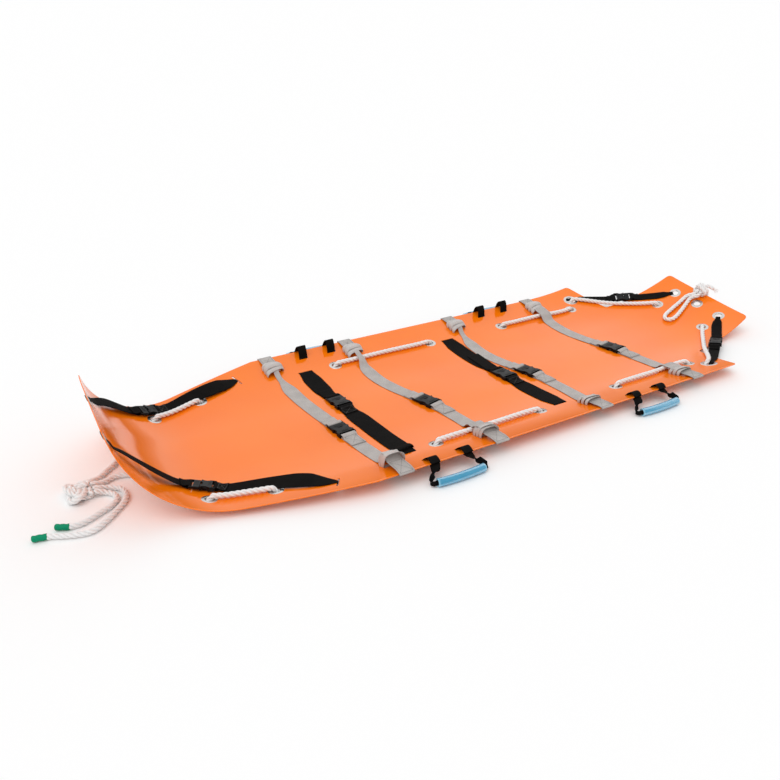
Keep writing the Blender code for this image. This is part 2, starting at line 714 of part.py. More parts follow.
def through_hole(radius, clear, corner_points=2):
    """(along, height) points of a line that dives through an eyelet, kept clear of both its rims."""
    half = sqrt(radius ** 2 + ((rim_top + half_sheet) / 2) ** 2)
    lean = atan((rim_top + half_sheet) / 2 / radius)
    tilt = lean + atan(clear / sqrt(half ** 2 - clear ** 2))
    angles = [tilt * (i + 0.5) / corner_points for i in range(corner_points)]
    out = clear / cos(angles[0])
    bend = [(radius - out * sin(a), out * cos(a)) for a in angles]
    wide = radius + 2 * MM + clear / 4
    over = [(-wide, rim_top + clear)] + [(-s, rim_top + h) for s, h in bend]
    return over + [(s, -half_sheet - h) for s, h in bend[::-1]] + [(wide, -half_sheet - clear)]


def swing(u, lean, slack, v, reach):
    """Place along the sheet of a slack strap at v, held straight past its reach."""
    w = max(-reach, min(reach, v))
    return u + lean * w - slack * sin(pi * w / reach)


def cross_u(number, v):
    u, lean, slack, _ = CROSS_STRAPS[number]
    return swing(u, lean, slack, v, CROSS_SLOT_V - 0.02)


def body_u(number, v):
    u, lean, slack, _, slot_v, _ = BODY_STRAPS[number]
    return swing(u, lean, slack, v, slot_v - 0.02)


def straight_near(place, middle, reach):
    """The strap's place along the sheet, made straight within a reach of the buckle's middle."""
    step = 0.002
    lean = (place(middle + step) - place(middle - step)) / (2 * step)

    def straight(v):
        t = min(max(abs(v - middle) - reach, 0) / 0.06, 1.0)
        t = t * t * (3 - 2 * t)
        return (place(middle) + lean * (v - middle)) * (1 - t) + place(v) * t

    return straight


def crossing(name, place, buckle_v, tails, hitch, width_at, material):
    """A strap across the sheet in two halves, with its buckle: left half on the plug."""
    reach = max(bar_reach(CROSS_WEB, True), bar_reach(CROSS_WEB, False)) + BAR_RUN
    line = straight_near(place, buckle_v, reach)
    base_h = half_sheet + BUCKLE_STANDOFF
    step = 0.002
    pull = sheet_at(line(buckle_v + step), buckle_v + step, base_h) \
        - sheet_at(line(buckle_v - step), buckle_v - step, base_h)
    mouth = sheet_at(line(buckle_v), buckle_v, base_h)
    buckle = place_buckle(name.replace("strap", "buckle"), CROSS_WEB, mouth, pull,
                          sheet_axes(line(buckle_v), buckle_v)[2])
    for side, word in ((1, "left"), (-1, "right")):
        plug = side > 0
        start = buckle_v + side * (bar_reach(CROSS_WEB, plug) + BAR_RUN)
        end = hitch(side)
        flat, ways = [], []
        for v in spread(start, side * end[0][0], 0.05)[:-1]:
            flat.append((line(v), v, web_h))
            slope = (line(v + step) - line(v - step)) / (2 * step)
            ways.append((side * slope, side))
        for w, h in end:
            flat.append((line(side * w), side * w, h))
            ways.append((0, side))
        bar = buckle_v + side * bar_reach(CROSS_WEB, plug)
        widths = [width_at(side * v, side * bar) for _, v, _ in flat]
        stations = bar_turn(buckle, CROSS_WEB, plug, tails[plug], web_h - base_h, laid(flat, widths, ways))
        ribbon(f"{name}_{word}", stations, material)


def choker(number, side):
    """(across, height) points of a cross strap's end: over its own knuckle, round the sheet's edge
    and up through the slot into the knuckle."""
    middle = cross_u(number, side * CROSS_SLOT_V)
    half = max(half_width(middle + CROSS_WEB / 2), half_width(middle - CROSS_WEB / 2))
    slot = CROSS_SLOT_V
    top = web_h + KNUCKLE_HIGH
    if number in OVER_ROPE:
        over = rim_top + 3 * GAP + ROPE_D + WEB_THICK / 2
        out = [(0.262, web_h), (0.278, web_h + 3 * MM), (0.292, over * 0.8), (0.303, over),
               (0.327, over), (0.340, over * 0.92), (slot - 0.016, top + 1.5 * MM)]
    else:
        out = [(0.310, web_h), (slot - 0.034, web_h), (slot - 0.026, web_h + 3 * MM),
               (slot - 0.017, top * 0.75)]
    out += [(slot - 0.008, top), (slot + 0.004, top), (slot + 0.014, top * 0.66),
            (slot + 0.024, web_h + 2 * MM), (slot + 0.034, web_h)]
    out += round_lip(half, 0, pi, 5)
    lip = slot + SLOT_WIDE / 2
    out += [(w, -web_h) for w in spread(half, lip, 0.05)[:-1]]
    out += round_lip(lip, pi, pi / 2, 3, inward=True)
    return out + [(lip - web_h, 3 * MM), (lip - web_h - 1 * MM, 7 * MM)]


def make_cross_straps():
    for number, (_, _, _, buckle_v) in CROSS_STRAPS.items():
        crossing(f"cross_strap_{number}", lambda v, n=number: cross_u(n, v), buckle_v,
                 {True: 0.045, False: 0.045}, lambda side, n=number: choker(n, side),
                 lambda w, bar: CROSS_WEB, "gray_webbing")


def make_body_straps():
    for number, (_, _, _, buckle_v, slot_v, tail) in BODY_STRAPS.items():
        lip = slot_v - SLOT_WIDE / 2

        def hitch(side, lip=lip):
            return [(lip - 6 * MM, web_h)] + round_lip(lip, 0, pi, 5) + [(lip - STUB, -web_h)]

        def width(w, bar, slot_v=slot_v):
            fat = min(max(w - bar - 20 * MM, 0) / 0.06, max(slot_v - w - 8 * MM, 0) / 0.05, 1)
            return CROSS_WEB + (BODY_WEB - CROSS_WEB) * fat * fat * (3 - 2 * fat)

        crossing(f"body_strap_{number}", lambda v, n=number: body_u(n, v), buckle_v,
                 {True: tail, False: 0.045}, hitch, width, "black_webbing")


# Straps at the foot and the head ends

def end_buckle(name, u, v, way, lift):
    """A buckle near an end of the sheet, pulled along a flat way and laid along the sheet's chord."""
    way = Vector(way).normalized()
    rear, front = SOCKET_LONG[END_WEB], PLUG_LONG[END_WEB]
    low = sheet_at(u - way.x * rear, v - way.y * rear)
    high = sheet_at(u + way.x * front, v + way.y * front)
    up = sheet_axes(u, v)[2]
    mouth = low.lerp(high, rear / (rear + front)) + up * lift
    return place_buckle(name, END_WEB, mouth, high - low, up)


def past_eyelet(centre, way, offset, stub):
    """(u, v, h) points of folded webbing through an eyelet: over the rim, down and outside."""
    centre, way = Vector(centre) + Vector(offset), Vector(way).normalized()
    radius = sqrt((EYELET_BORE / 2 * cos(pi / 12)) ** 2 - (END_FOLD / 2) ** 2) - 0.2 * MM
    line = through_hole(radius, WEB_THICK / 2 + GAP, 1)
    line = [(line[0][0] - EYELET_RIM - 4 * MM, line[0][1])] + line[1:-1] + [(stub, line[-1][1])]
    return [(*(centre + way * s), h) for s, h in line]


def make_foot_straps():
    slot_u, slot_v = FOOT_SLOT
    for side, word in ((1, "left"), (-1, "right")):
        u, v, pull = FOOT_BUCKLES[word]
        lift = rim_top + 2 * BUCKLE_STANDOFF
        buckle = end_buckle(f"foot_buckle_{word}", u, v, pull, lift)

        band = FOOT_BANDS[word]
        way = Vector((slot_u - band[-1][0], side * slot_v - band[-1][1])).normalized()
        lip = Vector((slot_u, side * slot_v)) - way * SLOT_WIDE / 2
        flat = [(a, b, web_h + h) for a, b, h, _ in band]
        tilts = [radians(t) * side for _, _, _, t in band]
        ways = [None] * len(flat)
        for w, h in round_lip(0, 0, pi, 5) + [(-STUB, -web_h)]:
            flat.append((*(lip + way * w), h))
            ways.append(way)
            tilts.append(0)
        widths = [END_WEB + (END_BAND - END_WEB) * min((i + 1) / 2, 1) for i in range(len(flat))]
        run = laid(flat, widths, ways, tilts)
        ribbon(f"foot_strap_{word}_lower", bar_turn(buckle, END_WEB, False, 0.035, CURL_RUN, run),
               "black_webbing")

        eyelet = Vector((FOOT_STRAP_EYELET[0], side * FOOT_STRAP_EYELET[1]))
        path = FOOT_UPPER[word]
        way = (eyelet - Vector(path[-1][:2])).normalized()
        hole = past_eyelet(eyelet, way, (0, 0), 0.028)
        flat = [(a, b, web_h + h) for a, b, h in path] + hole
        ways = [None] * len(path) + [way] * len(hole)
        widths = [END_WEB] * (len(path) - 2) + [END_WEB * 0.8, (END_WEB + END_FOLD) / 2]
        widths += [END_FOLD] * len(hole)
        run = laid(flat, widths, ways)
        ribbon(f"foot_strap_{word}_upper", bar_turn(buckle, END_WEB, True, 0.030, CURL_RUN, run),
               "black_webbing")


def make_head_straps():
    for side, word in ((1, "left"), (-1, "right")):
        big, small = Vector(ROPE_EYELETS[BIG_EYELET]), Vector(HEAD_STRAP_EYELET)
        way = (small - big).normalized()
        big += Vector((-way.y, way.x)) * BIG_EYELET_SPLIT
        mid = big.lerp(small, 0.52) + Vector((-way.y, way.x)) * END_BUCKLE_OUT
        lift = rim_top + 3 * MM
        buckle = end_buckle(f"head_buckle_{word}", mid.x, side * mid.y, (way.x, side * way.y), lift)
        for plug, end, tag in ((True, small, "upper"), (False, big, "lower")):
            out = way if plug else -way
            hole = past_eyelet(end, out, (0, 0), 0.026)
            before = Vector(hole[0][:2]) - out * 0.026
            flat = [(*before, hole[0][2] + 1 * MM)] + hole
            widths = [END_FOLD + 6 * MM] + [END_FOLD] * len(hole)
            flat = [(a, side * b, h) for a, b, h in flat]
            ways = [(out.x, side * out.y)] * len(flat)
            run = laid(flat, widths, ways)
            ribbon(f"head_strap_{word}_{tag}", bar_turn(buckle, END_WEB, plug, 0.030, 0.3 * MM, run),
                   "black_webbing")


# Carrying handles

def grip_middle(place, side):
    """Middle of the grip, on the ground outside the sheet's edge."""
    edge = sheet_at(place, side * half_width(place))
    return Vector((edge.x, edge.y + side * GRIP_REACH, GRIP_D / 2 + SEAT))


def handle_hinge(place, side):
    """Point on the line about which a handle swings, just outside the edge."""
    edge = sheet_at(place, side * half_width(place))
    return Vector((edge.x, edge.y + side * 2 * MM, edge.z))


def make_handles():
    for number, place in HANDLES.items():
        for side, word in ((1, "left"), (-1, "right")):
            mid = grip_middle(place, side)
            line = [mid + Vector((t * GRIP_LONG / 2, -side * GRIP_BOW * t * t, 0))
                    for t in (-1, -0.5, 0, 0.5, 1)]
            outer = tube_mesh("grip", line, GRIP_D / 2, 3)
            first, last = line[0] - line[1], line[-1] - line[-2]
            bore = tube_mesh("grip_bore", [line[0] + first * 0.2] + line[1:-1] + [line[-1] + last * 0.2],
                             GRIP_BORE / 2, 2)
            mesh = shaped("grip_tube", outer, [bore])
            own(f"handle_{number}_{word}_grip", mesh, "blue_grip", handle_hinge(place, side))

            half = half_width(place)
            ring = round_lip(half, radians(100), 0, 3)
            ring += [(w, h) for w, h in round_lip(HANDLE_SLOT_V + SLOT_WIDE / 2, 0, pi, 5, inward=True)]
            ring.append((half - 6 * MM, -web_h))
            u = place - HANDLE_RING_SPREAD / 2
            along = Vector((1, 0, 0))
            wing = [(sheet_at(u, side * w, h), along, HANDLE_WEB / 2) for w, h in ring]
            up = Vector((0, -side * 0.45, 0.9)).normalized()
            lip = wing[-1][0]
            entry = line[0] + first.normalized() * 0.012
            path = smooth_path([lip, lip.lerp(entry, 0.3) + Vector((0, side * 0.006, 0)),
                                entry - Vector((0.004, side * 0.010, 0)), entry, line[0]], 0.012)[1:]
            for i, point in enumerate(path):
                t = min((i + 1) / (len(path) - 2), 1)
                wing.append((point, along.lerp(up, t), (HANDLE_WEB + (CORE_WEB - HANDLE_WEB) * t) / 2))
            wing += [(p, up, CORE_WEB / 2) for p in line[1:3]]
            stations = list(wing)
            for point, way, wide in wing[-2::-1]:
                other = Vector((2 * mid.x - point.x, point.y, point.z))
                stations.append((other, Vector((-way.x, way.y, way.z)), wide))
            ribbon(f"handle_{number}_{word}_webbing", stations, "black_webbing")


# Rope

def side_rope_plan():
    """The flat route of a side's rope, and which of its points are eyelets."""
    knots = [Vector(p) for p in ROPE_EYELETS]
    toward = (knots[BIG_EYELET + 1] - knots[BIG_EYELET]).normalized()
    knots[BIG_EYELET] += Vector((toward.y, -toward.x)) * BIG_EYELET_SPLIT
    plan, marks = [knots[0] - (knots[1] - knots[0]).normalized() * 0.040], []
    for i, knot in enumerate(knots):
        marks.append(len(plan))
        plan.append(knot)
        after = knots[i + 1] if i + 1 < len(knots) else None
        if after is not None and i % 2 == 1 and (after - knot).length > 0.3:
            plan += [knot.lerp(after, t) + Vector((0, ROPE_BOW * bow))
                     for t, bow in ((0.25, 0.6), (0.5, 1.0), (0.75, 0.6))]
        elif after is not None and (after - knot).length > 0.1:
            plan.append(knot.lerp(after, 0.5))
    return plan, marks


def make_side_ropes():
    clear = rope_r + 1.1 * GAP
    dive = through_hole(EYELET_BORE / 2 * cos(pi / 12), clear)
    for side, word in ((1, "left"), (-1, "right")):
        plan, marks = side_rope_plan()
        edge_v = HEAD_KNOT[1] + side * STRAND_STEP / 2
        plan = [Vector((p.x, side * p.y)) for p in plan]
        plan += [Vector((1.110, side * 0.070)), Vector((1.165, edge_v + side * 0.022)),
                 Vector((FLAP_END_U - 0.012, edge_v))]
        dense = [p.to_2d() for p in smooth_path([p.to_3d() for p in plan], 0.001)]
        reach = [0.0]
        for a, b in zip(dense, dense[1:]):
            reach.append(reach[-1] + (b - a).length)
        knots = [reach[min(range(len(dense)), key=lambda k: (dense[k] - plan[m]).length)] for m in marks]
        wanted = [(0.0, -half_sheet - clear)]
        for i, knot in enumerate(knots):
            steps = [(knot - s, h) for s, h in dive[::-1]]
            if i % 2:
                steps = [(knot + s, h) for s, h in dive]
            wanted += [(s, wanted[-1][1]) for s in spread(wanted[-1][0], steps[0][0], ROPE_STEP)[:-1]]
            wanted += steps
        wanted += [(s, wanted[-1][1]) for s in spread(wanted[-1][0], reach[-1], 0.03)]
        points, k = [], 0
        for s, h in wanted:
            while k < len(reach) - 2 and reach[k + 1] < s:
                k += 1
            spot = dense[k].lerp(dense[k + 1], (s - reach[k]) / max(reach[k + 1] - reach[k], 1e-9))
            points.append(sheet_at(spot.x, spot.y, h))
        for a in (0, 30, 60):
            points.append(sheet_at(FLAP_END_U + EDGE_TURN * sin(radians(a)), edge_v,
                                   -half_sheet - EDGE_TURN * cos(radians(a))))
        middle, along, across, out = head_knot_axes()
        end = middle + along * (FLAP_END_U + EDGE_TURN - HEAD_KNOT[0]) + across * side * STRAND_STEP / 2 \
            - out * (HEAD_KNOT_SIZE[2] / 2 + SEAT)
        points += [end - out * 3 * MM, end]
        mesh = tube_mesh(f"side_rope_{word}", points, rope_r)
        mesh.shade_smooth()
        own(f"side_rope_{word}", mesh, "white_rope", points[0])
        SIDE_ROPE_START[word] = points[0], points[1]


SIDE_ROPE_START = {}


def head_knot_axes():
    """Middle of the head knot and its axes: along the sheet, across it and out of it."""
    u, v = HEAD_KNOT
    h = knot_base + HEAD_KNOT_SIZE[2] / 2
    along, _, out = sheet_axes(u, v, h)
    return sheet_at(u, v, h), along, out.cross(along), out


def make_head_knot():
    middle, along, across, out = head_knot_axes()
    size = Vector(HEAD_KNOT_SIZE)
    mesh = chamfered("head_knot", -size / 2, size / 2, 0.011, 2)
    obj = own("head_knot", mesh, "white_rope")
    obj.matrix_world = Matrix.Translation(middle) @ Matrix((along, across, out)).transposed().to_4x4()
    face = middle - along * (size.x / 2 + SEAT)
    ends = [face + across * STRAND_STEP * k for k in (-0.5, 0.5)]
    low = rope_low + LOOP_LIFT
    rise = [4 * MM] + [0] * (len(LOOP) - 2) + [4 * MM]
    flat = [sheet_at(a, b, low + extra) for (a, b), extra in zip(LOOP, rise)]
    lead = along * 6 * MM
    path = smooth_path([ends[0] - lead] + flat + [ends[1] - lead], 0.020)
    rope("head_loop", [ends[0]] + path + [ends[1]])


def make_tow_ropes():
    x, y = FOOT_KNOT_AT
    size = Vector(FOOT_KNOT_SIZE)
    z = size.z / 2 + SEAT
    mesh = chamfered("foot_knot", -size / 2, size / 2, 0.012, 2)
    obj = own("foot_knot", mesh, "white_rope")
    obj.location = (x, y, z)
    face = x + size.x / 2 + SEAT
    low = rope_r + 2 * SEAT
    ends = [Vector((face, y + k, z)) for k in FOOT_KNOT_STRANDS]
    lead = Vector((8 * MM, 0, 0))
    for word, end in zip(("left", "right"), ends):
        first, second = SIDE_ROPE_START[word]
        away = (first - second).normalized()
        start = first + away * SEAT
        ways = [Vector((a, b, low + h)) for a, b, h in TOW_ROUTES[word]]
        path = smooth_path([start + away * 12 * MM] + ways + [end + lead], 0.030)
        rope(f"tow_rope_{word}", [start] + path + [end])
    for word, end in zip(("left", "right"), ends[2:]):
        path = smooth_path([end + lead] + [Vector((a, b, low)) for a, b in TAIL_ROUTES[word]], 0.024)
        rope(f"tail_{word}", [end] + [Vector((p.x, p.y, max(p.z, low))) for p in path])


CORD_NAMES = ("head_knot", "head_loop", "foot_knot", "tow_rope_left", "tow_rope_right",
              "tail_left", "tail_right")


def centre_part():
    """Move the whole part so that its origin is under the middle of its box, on the ground."""
    bpy.context.view_layer.update()
    graph = bpy.context.evaluated_depsgraph_get()
    low, high = Vector((9, 9, 9)), Vector((-9, -9, -9))
    for obj in PARTS.objects:
        if obj.type != "MESH" or obj.name in CORD_NAMES:
            continue
        seen = obj.evaluated_get(graph)
        for vert in seen.data.vertices:
            spot = seen.matrix_world @ vert.co
            low = Vector(min(a, b) for a, b in zip(low, spot))
            high = Vector(max(a, b) for a, b in zip(high, spot))
    BASE.location = (-(low.x + high.x) / 2, -(low.y + high.y) / 2, -low.z)


make_sheet()
make_cross_straps()
make_body_straps()
make_foot_straps()
make_head_straps()
make_handles()
make_side_ropes()
make_head_knot()
make_tow_ropes()
centre_part()
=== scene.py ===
"""Roll-up rescue stretcher: its sheet, eyelets, webbing, buckles, handles and rope as seen.

Every route is laid out in the sheet's own flat coordinates, u along it, v across it and h above its
middle layer, and one function, sheet_at, bends that layout into the trough, the foot curl and the
head flap's lift. Left is +Y, and the head end is +X.
"""

import json
from functools import partial
from math import ceil, cos, pi, radians, sin, sqrt

import bmesh
import bpy
import numpy as np
from mathutils import Matrix, Vector

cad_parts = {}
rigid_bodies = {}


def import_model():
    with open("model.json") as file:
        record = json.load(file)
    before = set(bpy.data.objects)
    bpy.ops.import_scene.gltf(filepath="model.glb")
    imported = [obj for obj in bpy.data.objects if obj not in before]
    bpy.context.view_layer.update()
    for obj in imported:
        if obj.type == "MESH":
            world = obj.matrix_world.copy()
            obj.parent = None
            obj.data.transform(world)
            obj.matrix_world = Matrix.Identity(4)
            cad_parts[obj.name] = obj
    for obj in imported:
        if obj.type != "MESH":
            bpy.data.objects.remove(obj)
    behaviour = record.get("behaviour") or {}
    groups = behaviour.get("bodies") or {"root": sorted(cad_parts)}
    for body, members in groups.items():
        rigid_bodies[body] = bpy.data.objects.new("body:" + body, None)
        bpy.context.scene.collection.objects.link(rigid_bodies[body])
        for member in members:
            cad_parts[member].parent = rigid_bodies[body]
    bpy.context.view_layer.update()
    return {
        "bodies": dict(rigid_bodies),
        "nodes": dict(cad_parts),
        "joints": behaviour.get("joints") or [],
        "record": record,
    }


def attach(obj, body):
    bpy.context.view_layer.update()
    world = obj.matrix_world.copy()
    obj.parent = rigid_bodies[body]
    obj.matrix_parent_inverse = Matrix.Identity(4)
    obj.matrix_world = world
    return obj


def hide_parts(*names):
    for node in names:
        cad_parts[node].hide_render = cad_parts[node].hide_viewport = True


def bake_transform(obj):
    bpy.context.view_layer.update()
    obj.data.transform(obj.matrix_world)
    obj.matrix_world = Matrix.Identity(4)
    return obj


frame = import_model()

MM = 0.001
ROOT = "stretcher"

# The camera, at the photograph's view
PHOTO_SIDE_PX = 780
PHOTO_FOCAL_PX = 825.5
SENSOR_MM = 36.0
CAMERA_AT = (-1.5370, -2.0700, 1.2555)
CAMERA_AZIMUTH = radians(-30.93)
CAMERA_DOWN = radians(26.54)

# The sheet, flat: half widths across and places along
CENTRE_X = 0.019978
SHEET_THICK = 2.5 * MM
FOOT_END_U = -1.357
FOOT_HALF = 0.204
TAPER_BULGE = 0.018
SHOULDER_U = -0.62
SHOULDER_HALF = 0.452
SIDE_END_U = 0.842
SIDE_END_HALF = 0.440
NOTCH_U = 0.883
NOTCH_HALF = 0.242
FLAP_END_U = 1.209
FLAP_HALF = 0.197
CORNER_ROUND = 0.022
NOTCH_ROUND = 0.012

# The sheet, bent: trough, foot curl and head lift
TROUGH_FLAT_HALF = 0.12
TROUGH_RISE = 0.404
CURL_START = -0.930
CURL_SKEW = 0.065
CURL_BEND = 3.447
CURL_RAMP = 0.056
CURL_STEPS = 32
LIFT_START = 0.663
LIFT_SKEW = -0.334
LIFT_BEND = 1.237
LIFT_RAMP = 0.338

# Clearances
GAP = 0.65 * MM
SEAT = 0.3 * MM

# Rope and eyelets
ROPE_D = 13 * MM
FULL_ROPE_D = 16 * MM
ROPE_LAY = 48 * MM
EYELET_BORE = 26 * MM
EYELET_RIM = 10 * MM
EYELET_PROUD = 1.0 * MM
BIG_EYELET_BORE = 39 * MM
ROPE_EYELETS = [(-1.028, 0.250), (-0.858, 0.305), (-0.350, 0.323), (0.050, 0.320),
                (0.386, 0.315), (0.746, 0.309), (0.792, 0.362), (1.047, 0.116)]
BIG_EYELET = 6
ROPE_BOW = 0.030
BIG_EYELET_SPLIT = 8.2 * MM
FOOT_STRAP_EYELET = (-1.319, 0.1165)
HEAD_STRAP_EYELET = (1.144, 0.111)
HEAD_FREE_EYELET = (1.148, 0.0)

# Webbing
WEB_THICK = 1.8 * MM
CROSS_WEB = 50 * MM
BODY_WEB = 66 * MM
END_WEB = 38 * MM
END_BAND = 50 * MM
END_FOLD = 16 * MM
SLOT_LONG_EXTRA = 4 * MM
SLOT_WIDE = 6 * MM
CROSS_SLOT_V = 0.372
CROSS_STRAPS = {1: (-0.550, -0.050, 0.004, -0.077), 2: (-0.226, -0.070, 0.024, -0.051),
                3: (0.213, -0.010, 0.026, -0.042), 4: (0.620, -0.050, 0.020, -0.042)}
OVER_ROPE = (2, 4)
BODY_STRAPS = {1: (-0.458, -0.030, 0.003, 0.091, 0.327, 0.060),
               2: (0.133, -0.030, 0.004, -0.0165, 0.313, 0.150)}
STUB = 30 * MM

# Side-release buckles, for 50 mm and for 38 mm webbing
BUCKLE_HIGH = 12.5 * MM
BUCKLE_BAR = 4 * MM
BUCKLE_BAR_DEEP = 5 * MM
BUCKLE_RAIL = 4.5 * MM
BUCKLE_STANDOFF = 1.2 * MM
SOCKET_LONG = {CROSS_WEB: 48 * MM, END_WEB: 42 * MM}
PLUG_LONG = {CROSS_WEB: 34 * MM, END_WEB: 30 * MM}
CAVITY_DEEP = {CROSS_WEB: 33 * MM, END_WEB: 27 * MM}
CAVITY_HIGH = 8 * MM
CAVITY_WALL = 4 * MM
ARM_WIDE = 7 * MM
ARM_HIGH = 6.2 * MM
TONGUE_WIDE = 9 * MM
TONGUE_HIGH = 5 * MM
PINCH_DEEP = 6 * MM
PLUG_SIDE_STEP = 1.5 * MM
PLUG_HIGH = 8 * MM
WAIST_ROUND = 17 * MM
BAR_SLOT = 6 * MM
BAR_RUN = 14 * MM
SEWN_TAIL = 66 * MM
PLUG_TAIL = 45 * MM
TURN_LONG = 12 * MM
END_TAIL = 30 * MM
EYELET_RUN = 60 * MM

# Foot end straps
FOOT_SLOT = (-0.703, 0.372)
END_BUCKLE_OUT = 4 * MM
CURL_RUN = 4.2 * MM
FOOT_BUCKLES = {"left": (-1.050, 0.283, (-0.96, -0.22)), "right": (-1.030, -0.182, (-0.881, 0.473))}
FOOT_BANDS = {
    "left": [(-0.950, 0.303, 8 * MM, 8), (-0.905, 0.314, 12 * MM, 12), (-0.862, 0.325, 14 * MM, 14),
             (-0.812, 0.339, 13 * MM, 14), (-0.768, 0.352, 9 * MM, 10), (-0.735, 0.362, 2.5 * MM, 3)],
    "right": [(-0.950, -0.230, 5 * MM, -10), (-0.900, -0.253, 7 * MM, -13), (-0.850, -0.280, 10 * MM, -17),
              (-0.800, -0.309, 12 * MM, -20), (-0.765, -0.331, 10 * MM, -17), (-0.735, -0.352, 4 * MM, -8)]}
FOOT_BAND_WIDTHS = [42 * MM, 46 * MM, 50 * MM, 54 * MM, 55 * MM, 44 * MM]
FOOT_BAND_END = 14 * MM
FOOT_UPPER = {
    "left": [(-1.125, 0.263, 8 * MM), (-1.165, 0.249, 11.5 * MM), (-1.205, 0.230, 11.5 * MM),
             (-1.243, 0.200, 8.5 * MM), (-1.272, 0.168, 3.5 * MM)],
    "right": [(-1.092, -0.157, 9 * MM), (-1.132, -0.149, 16 * MM), (-1.178, -0.141, 20 * MM),
              (-1.227, -0.132, 18 * MM), (-1.268, -0.124, 10 * MM)]}

# Carrying handles
HANDLES = {1: -0.380, 2: 0.410}
HANDLE_RING_SPREAD = 0.112
HANDLE_WEB = 32 * MM
HANDLE_SLOT_V = 0.405
GRIP_LONG = 0.160
GRIP_D = 25 * MM
GRIP_BORE = 17 * MM
GRIP_REACH = 0.052
GRIP_BOW = 5 * MM
GRIP_END_ROUND = 0.9 * MM
HANDLE_ARCH = {"left": 34 * MM, "right": 11 * MM}
CORE_WEB = 14 * MM

# Knots, loop, tow ropes and tails
HEAD_KNOT = (1.205, 0.021)
HEAD_KNOT_SIZE = (0.051, 0.056, 0.036)
HEAD_TAIL = [(0.018, -0.014, 0.015), (0.021, -0.030, 0.014), (0.024, -0.043, 0.008)]
EDGE_TURN = 9.5 * MM
LOOP = [(1.150, 0.0300), (1.112, 0.0230), (1.070, 0.009), (1.020, -0.006), (0.997, -0.007),
        (0.984, 0.004), (0.986, 0.019), (1.002, 0.031), (1.046, 0.042), (1.100, 0.049), (1.150, 0.0490)]
FOOT_KNOT_AT = (-1.322, -0.040)
FOOT_KNOT_SIZE = (0.078, 0.102, 0.036)
FOOT_KNOT_STRANDS = (0.037, 0.019, -0.005, -0.023)
STRAND_STEP = 18 * MM
LOOP_LIFT = 1.2 * MM
TOW_ROUTES = {
    "left": [(-1.110, 0.210, 3 * MM), (-1.150, 0.148, 0), (-1.183, 0.085, 0), (-1.223, 0.045, 0),
             (-1.256, 0.012, 2 * MM)],
    "right": [(-1.096, -0.205, 1 * MM), (-1.118, -0.130, 0), (-1.140, -0.055, 0), (-1.172, -0.010, 0),
              (-1.210, 0.002, 0), (-1.248, -0.014, 2 * MM)]}
TAIL_ROUTES = {
    "left": [(-1.240, -0.046), (-1.214, -0.066), (-1.208, -0.100), (-1.222, -0.136), (-1.252, -0.168),
             (-1.280, -0.196), (-1.325, -0.226), (-1.367, -0.220), (-1.429, -0.192), (-1.463, -0.184)],
    "right": [(-1.252, -0.067), (-1.236, -0.085), (-1.235, -0.112), (-1.255, -0.137), (-1.283, -0.151),
              (-1.335, -0.177), (-1.366, -0.179), (-1.403, -0.161)]}
TAPE_LONG = 0.040

HALF_SHEET = SHEET_THICK / 2
ROPE_R = ROPE_D / 2
FULL_R = FULL_ROPE_D / 2
ROPE_PROUD = FULL_R - ROPE_R
WEB_H = HALF_SHEET + GAP + WEB_THICK / 2
ROPE_LOW = HALF_SHEET + GAP + ROPE_R
RIM_TOP = HALF_SHEET + EYELET_PROUD
KNOT_BASE = RIM_TOP + 2.4 * MM
SIDES = ((1, "left"), (-1, "right"))


# The camera

def placed(name, data):
    """A new object with this data, linked into the scene."""
    obj = bpy.data.objects.new(name, data)
    bpy.context.scene.collection.objects.link(obj)
    return obj


def make_camera():
    """The photograph's camera: a pinhole at CAMERA_AT, turned by its azimuth and tipped down."""
    lens = bpy.data.cameras.new("camera")
    lens.sensor_width = SENSOR_MM
    lens.lens = PHOTO_FOCAL_PX / PHOTO_SIDE_PX * SENSOR_MM
    lens.clip_start, lens.clip_end = 0.05, 200
    eye = placed("camera", lens)
    eye.location = CAMERA_AT
    eye.rotation_euler = (pi / 2 - CAMERA_DOWN, 0, CAMERA_AZIMUTH)
    bpy.context.scene.camera = eye


make_camera()


# Small vector helpers

STEPS_PER_STRETCH = 24


def unit(v):
    """Vectors scaled to length one."""
    v = np.asarray(v, float)
    return v / np.maximum(np.linalg.norm(v, axis=-1, keepdims=True), 1e-12)


def ease(t):
    """0 to 1 with level ends: three t squared less two t cubed."""
    t = np.clip(t, 0, 1)
    return t * t * (3 - 2 * t)


